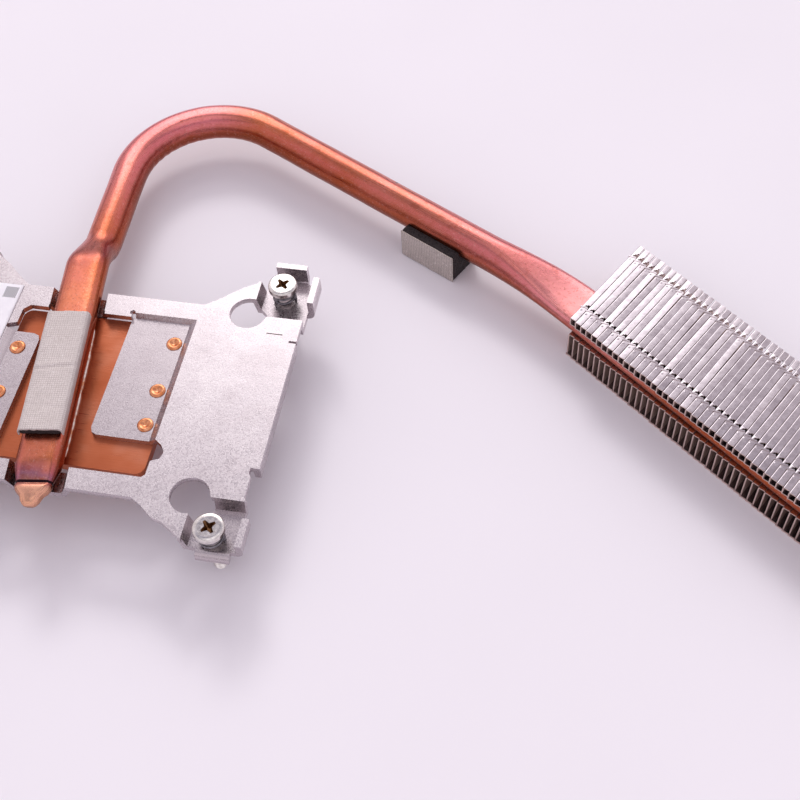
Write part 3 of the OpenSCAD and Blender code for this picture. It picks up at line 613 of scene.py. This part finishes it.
# %% [markdown]
# The heat pipe is one copper tube bent on a mandrel, so it is swept along the same bending list as
# the CAD pipe: straight runs and arcs.

# %% Heat pipe route
FIN_COUNT, PITCH = 60, 1.14
# each run is a straight length, then a turn in degrees and its radius
RUNS = [(50.0, 6.0, 20.0), (18.6, 120.0, 15.4), (54.0, 10.5, 87.0), (FIN_COUNT * PITCH + 3.0, 0.0, 1.0)]
PLATE_FRONT, TIP_REACH, START_HEADING = Vector((-1.0, -15.0, 0)), 7.6, 98.0
BIG, LAST, STACK = 1, 2, 3  # places in RUNS


def ahead(h):
    return Vector((math.cos(math.radians(h)), math.sin(math.radians(h)), 0))


def right_of(h):
    return Vector((math.sin(math.radians(h)), -math.cos(math.radians(h)), 0))


def bending_list():
    """Start point, heading and length from the tip of each run."""
    place, heading, s = PLATE_FRONT - TIP_REACH * ahead(START_HEADING), START_HEADING, 0.0
    made = []
    for straight, turn, radius in RUNS:
        made.append((place.copy(), heading, s))
        arc = math.radians(turn) * radius
        place = place + straight * ahead(heading) + radius * (right_of(heading) - right_of(heading - turn))
        heading, s = heading - turn, s + straight + arc
    return made


RUN_AT = bending_list()
PIPE_LEN = RUN_AT[STACK][2] + RUNS[STACK][0]


def along(s):
    """Point and heading on the tube's axis in plan."""
    index = max(i for i in range(len(RUNS)) if s >= RUN_AT[i][2] or i == 0)
    place, heading, start = RUN_AT[index]
    straight, turn, radius = RUNS[index]
    if s - start <= straight or index == STACK:
        return place + (s - start) * ahead(heading), heading
    h = heading - math.degrees((s - start - straight) / radius)
    return place + straight * ahead(heading) + radius * (right_of(heading) - right_of(h)), h


def ease(s, low, high):
    k = min(1.0, max(0.0, (s - low) / (high - low)))
    return k * k * (3 - 2 * k)


def mix(a, b, k):
    return a + (b - a) * k


def lookup(x, table):
    for (x0, y0), (x1, y1) in zip(table, table[1:]):
        if x <= x1:
            return mix(y0, y1, max(0.0, (x - x0) / (x1 - x0)))
    return table[-1][1]


print("pipe length mm", round(PIPE_LEN, 1))

# %% [markdown]
# The section goes from flat on the plate to round, a little oval in the big bend, and flat again in
# the fins. The tip is crimped, and the inside of the bend is slightly wrinkled, as thin tube is.

# %% Heat pipe section and mesh
PLATE_Z, LOW_Z, FIN_Z = 3.3, -0.5, -0.15
JOG = (45.5, 54.5)
FLATTEN = (RUN_AT[STACK][2] - 22.0, RUN_AT[STACK][2] - 1.5)
BEND = (RUN_AT[BIG][2] + RUNS[BIG][0], RUN_AT[LAST][2])


def in_bend(s):
    return ease(s, BEND[0] - 6, BEND[0] + 6) - ease(s, BEND[1] - 6, BEND[1] + 6)


def through(s, plate, bend, round_value, fin):
    value = mix(plate, mix(round_value, bend, in_bend(s)), ease(s, *JOG))
    return mix(value, fin, ease(s, *FLATTEN))


# on the plate, in the big bend, where it is round, in the fins
WIDTHS, THICKNESSES = (7.1, 6.3, 6.0, 8.2), (3.6, 5.4, 6.0, 2.3)
# millimetres from the tip, and the share of the full size there
TIP_WIDTH = [(0, 0.22), (0.25, 0.32), (0.8, 0.42), (1.6, 0.50), (2.4, 0.74), (3.2, 0.80), (3.7, 0.78),
             (6.5, 1)]
TIP_THICK = [(0, 0.22), (0.3, 0.40), (1.0, 0.52), (2.2, 0.56), (3.2, 0.60), (4, 0.56), (6.5, 1)]
CRIMP_AT, CRIMP_HALF, CRIMP_SHARE = 3.5, 0.25, 0.22
TIP_WRINKLE, TIP_WRINKLED = 0.28, 4.5
BEND_RIPPLE, LUMP = 0.16, 0.035


def pipe_size(s):
    end = min(s, PIPE_LEN - s)
    wide = through(s, *WIDTHS) * lookup(end, TIP_WIDTH)
    thick = through(s, *THICKNESSES) * lookup(end, TIP_THICK)
    thick *= 1 - CRIMP_SHARE * math.exp(-((end - CRIMP_AT) / CRIMP_HALF) ** 2)
    return max(wide, thick + 0.05), thick


def tube_ring(s, sides):
    place, heading = along(s)
    side = right_of(heading)
    wide, thick = pipe_size(s)
    z = mix(mix(PLATE_Z, LOW_Z, ease(s, *JOG)), FIN_Z, ease(s, *FLATTEN))
    tip_wrinkle = TIP_WRINKLE * max(0.0, 1 - s / TIP_WRINKLED)
    points = []
    for k in range(sides):
        a = TAU * (k + 0.5) / sides
        c, d = math.cos(a), math.sin(a)
        q = (wide - thick) / 2 * math.copysign(min(1, abs(c) * 12), c) + thick / 2 * c
        r = thick / 2 * d
        inner = max(0.0, c) * in_bend(s)
        creased = ease(s, BEND[0] + 1, BEND[0] + 7) - 0.7 * ease(s, BEND[0] + 14, BEND[0] + 24)
        wave = math.sin(s * 3.1 + 2 * noise.noise(Vector((s, 0, 0))))
        q -= BEND_RIPPLE * inner * creased * (0.5 + 0.5 * wave)
        at = place + side * q
        r += tip_wrinkle * noise.noise(Vector((s * 1.3, c * 1.7, d * 2.5)))
        lump = LUMP * noise.noise(Vector((at.x * 0.25, at.y * 0.25, a)))
        points.append((at.x + side.x * lump, at.y + side.y * lump, z + r * (1 - 0.01 * inner)))
    return points


PIPE_SIDES = 64
STATION_STEP, TIP_END = 0.55, 7.0
stations = [0.0, 0.15, 0.4, 0.8, 1.2, 1.7, 2.2, 2.6, 2.9, 3.1, 3.3, 3.45, 3.6, 3.75, 3.9, 4.1, 4.5, 5.0,
            5.6, 6.2]
stations += [TIP_END + STATION_STEP * i for i in range(int((PIPE_LEN - 12) / STATION_STEP))]
stations += [PIPE_LEN - v for v in (4.6, 4, 3.2, 2.2, 1.2, 0.6, 0.2, 0.0)]
verts = [point for s in stations for point in tube_ring(s, PIPE_SIDES)]
pipe_mesh = mesh_from("heat_pipe_tube", verts, tube_faces(len(stations) - 1, PIPE_SIDES))
layer = pipe_mesh.uv_layers.new(name="tube")
for polygon in pipe_mesh.polygons:
    around = {pipe_mesh.loops[i].vertex_index % PIPE_SIDES for i in polygon.loop_indices}
    wraps = around == {0, PIPE_SIDES - 1}
    for i in polygon.loop_indices:
        ring_index, k = divmod(pipe_mesh.loops[i].vertex_index, PIPE_SIDES)
        layer.data[i].uv = (stations[ring_index], (PIPE_SIDES if wraps and k == 0 else k) / PIPE_SIDES)
pipe = new_object("heat_pipe_tube", outward(pipe_mesh))
finish_piece(pipe, "cooler", "copper_pipe", pipe_copper, "heat_pipe")
print("pipe rings", len(stations), "faces", len(pipe_mesh.polygons))

# %% [markdown]
# Each fin is one folded aluminium sheet: a web with flanges at its top and bottom that reach the
# next fin, and tongues that snap into it. The section is a folded strip with rounded bends, drawn
# along the fin's length in short pieces, so that the lock windows and the narrower back strip come
# from the geometry.

# %% Fin pieces
SHEET, FIN_LEN, SKEW, INSET = 0.2, 19.3, 8.5, 4.45
SLOT_TOP, SLOT_BOTTOM = 1.1, -1.4
STACK_TOP, STACK_BOTTOM = 2.8, -6.6
SLOT_DEPTH = INSET + WIDTHS[3] / 2 + 0.35
FLANGE = PITCH * math.cos(math.radians(SKEW)) - 0.005
# from, to and reach of the top flange along a fin, in front of the pipe's slot and behind it
FRONT = [(0.0, 3.25, FLANGE), (3.25, 3.45, 0.42), (3.45, 3.65, 0.52), (3.65, 3.85, 0.78),
         (3.85, SLOT_DEPTH, FLANGE)]
REAR = [(SLOT_DEPTH, 16.7, FLANGE), (16.7, 16.95, 0.40), (16.95, 17.25, 0.55), (17.25, 17.6, 0.80),
        (17.6, FIN_LEN, FLANGE - 0.12)]
TONGUES = (2.78, 16.15)
DIMPLES = ((2.35, 0.21, 0.08), (15.85, 0.18, 0.06))  # place along the fin, radius, height
FOOT = (-0.24, 0.4, 0.36)  # from, to and height of the folded foot at the front


def folded(lo, hi, reach_top, reach_bottom, bend=0.215, parts=3):
    """Section of a folded strip as a closed outline in (u, z)."""
    outer, inner = [], []
    for centre_z, sign in ((lo + bend, -1), (hi - bend, 1)):
        for i in range(parts + 1):
            a = math.radians(90 * i / parts)
            c, d = (math.cos(a), math.sin(a)) if sign > 0 else (math.sin(a), math.cos(a))
            outer.append((bend - bend * c, centre_z + sign * bend * d))
            small = bend - SHEET
            inner.append((bend - small * c, centre_z + sign * small * d))
    return ([(reach_bottom, lo)] + outer + [(reach_top, hi), (reach_top, hi - SHEET)]
            + inner[::-1] + [(reach_bottom, lo + SHEET)])


def extrude_section(verts, faces, outline, v0, v1, put):
    base, count = len(verts), len(outline)
    for v in (v0, v1):
        verts.extend(put(u, v, z) for u, z in outline)
    for i in range(count):
        j = (i + 1) % count
        faces.append((base + i, base + j, base + count + j, base + count + i))
    half = (count - 2) // 2
    for start, flip in ((base, False), (base + count, True)):
        ring = [start + i for i in range(count)]
        for i in range(half):
            quad = (ring[i], ring[i + 1], ring[count - 2 - i], ring[count - 1 - i])
            faces.append(quad if flip else quad[::-1])


def dome(verts, faces, u0, v0, z0, radius, height, put):
    rings, sides = 3, 10
    base = len(verts)
    faces += lathe_faces(base, rings - 1, sides)
    for r in range(rings):
        a = math.radians(90 * r / rings)
        for k in range(sides):
            t = TAU * k / sides
            verts.append(put(u0 + radius * math.cos(a) * math.cos(t), v0 + radius * math.cos(a) * math.sin(t),
                             z0 + height * math.sin(a)))
    verts.append(put(u0, v0, z0 + height))
    last = base + (rings - 1) * sides
    for k in range(sides):
        faces.append((last + k, last + (k + 1) % sides, last + sides))


def slab(verts, faces, corners, z0, z1, put):
    """A thin plate over a four-cornered outline in (u, v)."""
    base = len(verts)
    verts.extend(put(u, v, z0) for u, v in corners)
    verts.extend(put(u, v, z1) for u, v in corners)
    faces.append(tuple(base + i for i in (3, 2, 1, 0)))
    faces.append(tuple(base + 4 + i for i in range(4)))
    for i in range(4):
        j = (i + 1) % 4
        faces.append((base + i, base + j, base + 4 + j, base + 4 + i))


print("flange reach mm", round(FLANGE, 3))

# %% [markdown]
# The stack is folded strip by folded strip. Every fin is turned, lifted and slid by a hair, since
# folded sheets never lie alike.

# %% Fin stack
SKEWED, LIFTED, SLID, ROLLED = (-0.35, 0.35), (-0.035, 0.0), (-0.05, 0.05), (-0.05, 0.03)
random.seed(11)
stack_at, stack_heading, _ = RUN_AT[STACK]
turn_stack = Matrix.Translation(stack_at) @ Matrix.Rotation(math.radians(stack_heading), 4, "Z")
verts, faces = [], []
for i in range(FIN_COUNT):
    skew = math.radians(SKEW + random.uniform(*SKEWED))
    lift, slide, roll = random.uniform(*LIFTED), random.uniform(*SLID), random.uniform(*ROLLED)
    place = turn_stack @ Matrix.Translation((i * PITCH, 0, 0)) @ Matrix.Rotation(skew, 4, "Z")

    def put(u, v, z):
        sag = roll * u if z > 0 else 0.0
        held_v = min(max(v + slide, -0.3), FIN_LEN) - INSET
        return tuple(place @ Vector((u, held_v, min(z + lift + sag, STACK_TOP + 0.08))))

    for v0, v1, reach in FRONT:
        extrude_section(verts, faces, folded(SLOT_TOP, STACK_TOP, reach, FLANGE), v0, v1, put)
    extrude_section(verts, faces, folded(STACK_BOTTOM, SLOT_BOTTOM, FLANGE, FLANGE), 0.0, SLOT_DEPTH, put)
    for v0, v1, reach in REAR:
        extrude_section(verts, faces, folded(STACK_BOTTOM, STACK_TOP, reach, FLANGE), v0, v1, put)
    for v0 in TONGUES:
        tongue = [(-0.08, v0), (0.98, v0 + 0.36), (0.96, v0 + 0.62), (-0.10, v0 + 0.26)]
        slab(verts, faces, tongue, STACK_TOP - 0.10, STACK_TOP + 0.06, put)
    for v0, radius, height in DIMPLES:
        dome(verts, faces, 0.42, v0, STACK_TOP - 0.01, radius, height, put)
    v0, v1, height = FOOT
    slab(verts, faces, [(0.0, v0), (FLANGE + 0.02, v0), (FLANGE + 0.02, v1), (0.0, v1)],
         STACK_BOTTOM, STACK_BOTTOM + height, put)
fin_mesh = outward(mesh_from("folded_fins", verts, faces, False))
fin_mesh.shade_smooth()
fin_stack = new_object("folded_fins", fin_mesh)
fin_mesh.set_sharp_from_angle(angle=math.radians(32))
weigh_normals(fin_stack, True)
finish_piece(fin_stack, "cooler", "aluminium_fin", aluminium, "fins")
print("fin faces", len(fin_mesh.polygons))

# %% [markdown]
# The screws are turned parts: a low head with a pressed cross, a shoulder that slides in the ear,
# and a rolled M2 thread. The profile is turned round its axis; on the threaded end the radius
# follows a helix of 0.4 mm pitch. The cross is cut with a boolean, because it is a pressed shape.

# %% Shouldered screws
HEAD_TOP, HEAD_UNDER, TIP = 4.8, 3.8, -6.6
SEAT_TOP, SEAT_BOTTOM = 0.9, -0.1
CLIP_TOP = SEAT_BOTTOM - 0.03
CLIP_THICK, UNDER_CLIP = 0.4, 0.5
SHOULDER_END = CLIP_TOP - CLIP_THICK - UNDER_CLIP
THREAD_PITCH, THREAD_DEPTH = 0.4, 0.2


def turned(name, profile, sides):
    """Turns an (r, z) outline; below the shoulder the radius follows the thread."""
    verts = []
    for r, z in profile:
        for k in range(sides):
            a = TAU * k / sides
            depth = 0.0
            if SHOULDER_END - 0.3 > z > TIP + 0.3 and r > 0.5:
                phase = (z / THREAD_PITCH - k / sides) % 1.0
                depth = THREAD_DEPTH * abs(2 * phase - 1)
            verts.append(((r - depth) * math.cos(a), (r - depth) * math.sin(a), z))
    faces = lathe_faces(0, len(profile) - 1, sides)
    faces.append(tuple(range(sides))[::-1])
    faces.append(tuple(range((len(profile) - 1) * sides, len(profile) * sides)))
    return outward(mesh_from(name, verts, faces))


def screw_profile():
    thread = [(1.0, TIP + 0.35 + i * 0.05) for i in range(int((SHOULDER_END - TIP - 0.4) / 0.05) + 1)]
    low = CLIP_TOP - 0.43
    return ([(0.01, TIP), (0.62, TIP), (0.66, TIP + 0.02)] + thread
            + [(1.0, SHOULDER_END - 0.02), (1.17, SHOULDER_END), (1.2, SHOULDER_END + 0.04), (1.2, low),
               (0.82, low + 0.01), (0.82, CLIP_TOP + 0.02), (1.2, CLIP_TOP + 0.03), (1.2, HEAD_UNDER - 0.04),
               (1.26, HEAD_UNDER), (2.28, HEAD_UNDER), (2.35, HEAD_UNDER + 0.07), (2.35, HEAD_TOP - 0.26),
               (2.31, HEAD_TOP - 0.13), (2.22, HEAD_TOP - 0.05), (2.08, HEAD_TOP), (1.6, HEAD_TOP - 0.015),
               (0.01, HEAD_TOP - 0.015)])


def cross_cutter():
    """The driver's tip: a tapered star with four arms, turned as the photograph shows."""
    outline, depths = [], ((0.35, HEAD_TOP - 0.85), (1.06, HEAD_TOP + 0.1))
    for arm in range(4):
        for x, y in ((1.22, -0.20), (1.22, 0.20), (0.42, 0.42)):
            a = math.radians(45 + 90 * arm)
            outline.append((x * math.cos(a) - y * math.sin(a), x * math.sin(a) + y * math.cos(a)))
    verts = [(x * k, y * k, z) for k, z in depths for x, y in outline]
    count = len(outline)
    faces = [(i, (i + 1) % count, count + (i + 1) % count, count + i) for i in range(count)]
    faces += [tuple(range(count))[::-1], tuple(range(count, 2 * count))]
    mesh = outward(mesh_from("driver_tip", verts, faces, False))
    mesh.materials.append(recess_painted_shade)
    return mesh


blank = new_object("screw_blank", turned("screw_blank", screw_profile(), 48))
blank.data.materials.append(nickel)
blank.data.materials.append(recess_painted_shade)
tool = new_object("driver_tip", cross_cutter())
cut = blank.modifiers.new("cross", "BOOLEAN")
cut.operation, cut.solver, cut.object, cut.use_self = "DIFFERENCE", "EXACT", tool, False
bpy.context.view_layer.update()
cut_blank = blank.evaluated_get(bpy.context.evaluated_depsgraph_get())
screw_mesh = bpy.data.meshes.new_from_object(cut_blank)
screw_mesh.name = "shouldered_screw"
for thing in (blank, tool):
    bpy.data.objects.remove(thing)
screw_mesh.shade_smooth()
screw_mesh.set_sharp_from_angle(angle=math.radians(40))
for corner, (x, y) in SCREW_AT.items():
    mesh = screw_mesh.copy()
    mesh.transform(Matrix.Translation((x * MM, y * MM, 0)))
    piece = new_object("shouldered_screw_" + corner, mesh)
    finish_piece(piece, "screw_" + corner, "nickel_plated_steel", None, "screw_" + corner)
print("screw faces", len(screw_mesh.polygons), "materials", len(screw_mesh.materials))

# %% [markdown]
# A compression spring of drawn wire stands round each screw. It is a helix of constant pitch with
# plain ends, swept with a round section; a real one may have closed ends.

# %% Springs
SPRING_H, WIRE, SPRING_R, TURNS = 2.9, 0.4, 1.75, 2.5
SCREW_TRAVEL, SPRING_GAP = 1.3, 0.02


def spring_mesh(name, x0, y0):
    verts = []
    around, sides = 40, 14
    steps = int(TURNS * around)
    for i in range(steps + 1):
        a = TAU * i / around
        z = SEAT_TOP + SPRING_GAP + WIRE / 2 + (SPRING_H - 2 * SPRING_GAP - WIRE) * i / steps
        for k in range(sides):
            b = TAU * k / sides
            r = SPRING_R + WIRE / 2 * math.cos(b)
            verts.append((x0 + r * math.cos(a), y0 + r * math.sin(a), z + WIRE / 2 * math.sin(b)))
    return mesh_from(name, verts, tube_faces(steps, sides))


for corner, (x, y) in SCREW_AT.items():
    piece = new_object("coil_spring_" + corner, spring_mesh("coil_spring_" + corner, x, y))
    finish_piece(piece, "cooler", "spring_steel", wire_steel, "spring_" + corner)
    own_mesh(piece)
print("springs", len(SCREW_AT))

# %% [markdown]
# The pad on the pipe is a foam strip under a folded cloth cover. The cover is one arched sheet,
# crowned over the foam, pulled in at its lower edges and creased where it was pressed. It is drawn
# as a grid with the crown and creases in its heights, because a simulation would round off the
# sharp creases that show.

# %% Pads
def at_pipe(s):
    place, heading = along(s)
    return Matrix.Translation((place.x, place.y, 0)) @ Matrix.Rotation(math.radians(heading), 4, "Z")


PAD_S, PAD_LEN, PAD_W, PAD_T, PAD_BASE = 22.4, 22.5, 6.9, 1.5, 5.12
CLOTH, CLOTH_SPARE, CROWN, FRAY, SOFT = 0.25, 0.04, 0.10, 0.12, 0.06
# each crease runs over the cover: height, slope, place and half width
CREASES = ((-0.10, 0.12, 0.2, 0.28), (-0.06, -0.1, -7.0, 0.3), (0.07, 0.12, 0.9, 0.4))


def arch(t):
    """A point on the cover's outline from one lower edge over the top to the other."""
    half, corner = PAD_W / 2, 0.75
    flat, side = half - corner, PAD_T - corner
    turn = math.pi / 2 * corner
    whole = 2 * (side + turn + flat)
    d = t * whole
    mirror = 1 if d <= whole / 2 else -1
    d = min(d, whole - d)
    if d < side:
        y, z = half, d
    elif d < side + turn:
        a = (d - side) / corner
        y, z = flat + corner * math.cos(a), side + corner * math.sin(a)
    else:
        y, z = flat - (d - side - turn), PAD_T
    return mirror * y, z


def thicken(piece, modifier, thick_mm):
    """Gives a sheet its thickness, away from the side that is drawn."""
    thick = piece.modifiers.new(modifier, "SOLIDIFY")
    thick.thickness, thick.offset = thick_mm * MM, -1.0
    return piece


def pad_cover():
    m = at_pipe(PAD_S)
    rows, cols = 90, 48
    outer, uv = [], []
    for i in range(rows + 1):
        x = -PAD_LEN / 2 + PAD_LEN * i / rows
        for j in range(cols + 1):
            y, z = arch(j / cols)
            crown = CROWN * (1 - (2 * y / PAD_W) ** 2) - CROWN
            crease = sum(tall * math.exp(-((x + slope * y - at) / half) ** 2)
                         for tall, slope, at, half in CREASES)
            soft = SOFT * noise.noise(Vector((x * 0.35, y * 0.4, 3.1)))
            lift = (crown + crease + soft) * min(1.0, z / PAD_T) ** 2
            fray = FRAY * noise.noise(Vector((y * 1.9, 7.0, x))) if i in (0, rows) else 0.0
            wide = y * (1 + 0.01 * noise.noise(Vector((x * 0.5, 1, 1))))
            outer.append(tuple(m @ Vector((x + fray, wide, PAD_BASE + z + lift))))
            uv.append((x, y if z >= PAD_T - 0.01 else math.copysign(PAD_W / 2 + PAD_T - z, y)))
    mesh = mesh_from("pad_cover", outer, grid_faces(rows, cols))
    set_uv(mesh, "cloth", uv)
    return thicken(new_object("pad_cover", mesh), "cloth_thickness", CLOTH - CLOTH_SPARE)


def rounded_block(name, m, low, high, radius, rough, cells):
    """A soft block: a finely divided box with rounded edges and an uneven cut face."""
    work = bmesh.new()
    made = bmesh.ops.create_cube(work, size=1.0)
    bmesh.ops.subdivide_edges(work, edges=work.edges[:], cuts=cells, use_grid_fill=True)
    centre = (Vector(low) + Vector(high)) / 2
    half = (Vector(high) - Vector(low)) / 2
    for v in work.verts:
        p = Vector([2 * c * h for c, h in zip(v.co, half)])
        core = Vector([max(-h + radius, min(h - radius, c)) for c, h in zip(p, half)])
        away = p - core
        if away.length > 1e-9:
            p = core + away.normalized() * min(away.length, radius)
        p *= 1 + rough * noise.noise(p * 1.7)
        v.co = (m @ (centre + p)) * MM
    mesh = bpy.data.meshes.new(name)
    work.to_mesh(mesh)
    work.free()
    mesh.shade_smooth()
    return new_object(name, mesh)


cover = finish_piece(pad_cover(), "cooler", "conductive_fabric", pad_fabric, "pipe_pad_fabric")
pad_foam = rounded_block("pad_foam", at_pipe(PAD_S), (-PAD_LEN / 2 + 0.15, -PAD_W / 2 + 0.3, PAD_BASE),
                         (PAD_LEN / 2 - 0.15, PAD_W / 2 - 0.3, PAD_BASE + PAD_T - 0.33), 0.15, 0.01, 18)
finish_piece(pad_foam, "cooler", "black_foam", foam, "pipe_pad_foam")

SIDE_S = RUN_AT[LAST][2] + 40.0
SIDE_LEN, SIDE_W, SIDE_H, SIDE_FRONT, SIDE_TOP = 11.0, 6.0, 5.9, 4.6, -0.6
SIDE_CLOTH, SIDE_DENT, HOLLOW_R = 0.18, 0.05, 3.03
side_place = at_pipe(SIDE_S)


def side_block():
    """The foam block, hollowed where the tube presses into it."""
    piece = rounded_block("side_foam", side_place, (-SIDE_LEN / 2, -SIDE_FRONT, SIDE_TOP - SIDE_H),
                          (SIDE_LEN / 2, SIDE_W - SIDE_FRONT, SIDE_TOP), 0.25, 0.008, 26)
    back_to = side_place.inverted()
    for v in piece.data.vertices:
        p = back_to @ (v.co / MM)
        r = Vector((p.y, p.z - LOW_Z))
        if r.length < HOLLOW_R:
            r = r.normalized() * HOLLOW_R
            p.y, p.z = r.x, r.y + LOW_Z
            v.co = (side_place @ p) * MM
    return piece


side_foam = finish_piece(side_block(), "cooler", "black_foam", foam, "side_pad_foam")


def side_face():
    rows, cols = 44, 24
    verts, uv = [], []
    for i in range(rows + 1):
        x = -SIDE_LEN / 2 + SIDE_LEN * i / rows
        for j in range(cols + 1):
            z = SIDE_TOP - SIDE_H + SIDE_H * j / cols
            dent = SIDE_DENT * noise.noise(Vector((x * 0.5, z * 0.6, 5)))
            verts.append(tuple(side_place @ Vector((x, -SIDE_FRONT - 0.03 - CLOTH + 0.05 + dent, z))))
            uv.append((x, z))
    # the grid's faces are turned round, so that they look away from the foam
    mesh = mesh_from("side_cloth", verts, [(a, d, c, b) for a, b, c, d in grid_faces(rows, cols)])
    set_uv(mesh, "cloth", uv)
    return thicken(new_object("side_cloth", mesh), "cloth_thickness", SIDE_CLOTH)


side_cloth = finish_piece(side_face(), "cooler", "conductive_fabric", shaded_block_fabric, "side_pad_fabric")
print("pads", PAD_S, round(SIDE_S, 1))

# %% [markdown]
# The label is a thin film stuck on the bracket. It carries nothing but a patch of plain squares.

# %% Label
FILM_MM, FILM_LIFT = 0.08, 0.02
low, high = [tuple(c / MM for c in corner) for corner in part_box("label")]
verts, uv = [], []
rows, cols = 44, 15
for i in range(rows + 1):
    for j in range(cols + 1):
        x, y = mix(low[0], high[0], j / cols), mix(low[1], high[1], i / rows)
        lift = FILM_LIFT * noise.noise(Vector((x * 0.4, y * 0.4, 2)))
        verts.append((x, y, high[2] + lift))
        uv.append((x - low[0], y - low[1]))
label_mesh = mesh_from("label_film", verts, grid_faces(rows, cols))
set_uv(label_mesh, "label", uv)
label = thicken(new_object("label_film", label_mesh), "film", FILM_MM)
finish_piece(label, "cooler", "label_paper", film, "label")
print("label mm", round(high[0] - low[0], 1), round(high[1] - low[1], 1))

# %% [markdown]
# Solder fills the corner between tube and plate. It is a bead of uneven width along each side.

# %% Solder beads
BEAD_FROM, BEAD_TO, BEAD_INSET, BEAD_Z = 9.5, 34.0, 0.55, 1.52


def solder_bead(name, side, seed):
    verts = []
    steps, sides = 60, 8
    for i in range(steps + 1):
        s = mix(BEAD_FROM, BEAD_TO, i / steps)
        place, heading = along(s)
        size = 0.34 + 0.2 * noise.noise(Vector((s * 0.45, seed, 0)))
        size *= math.sin(math.pi * min(1, max(0.02, i / steps))) ** 0.35
        centre = place + right_of(heading) * side * (WIDTHS[0] / 2 - BEAD_INSET)
        for k in range(sides):
            a = TAU * k / sides
            p = centre + right_of(heading) * side * size * 1.5 * math.cos(a)
            verts.append((p.x, p.y, BEAD_Z + max(0.0, size * math.sin(a) + 0.12)))
    piece = new_object(name, mesh_from(name, verts, tube_faces(steps, sides)))
    return finish_piece(piece, "cooler", "nickel_plated_steel", solder)


solder_bead("solder_bead_right", 1, 1.0)
solder_bead("solder_bead_left", -1, 4.0)
print("solder beads 2")

# %% [markdown]
# The size of the dressed model is kept beside the CAD's, and the frame is closed.

# %% Sizes and finish
low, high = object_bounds()
{"cad": [list(cad_low), list(cad_high)], "visual": [list(low), list(high)]}
print("box grows mm", [round((a - b) / MM, 2) for a, b in zip(cad_low, low)],
      [round((b - a) / MM, 2) for a, b in zip(cad_high, high)])
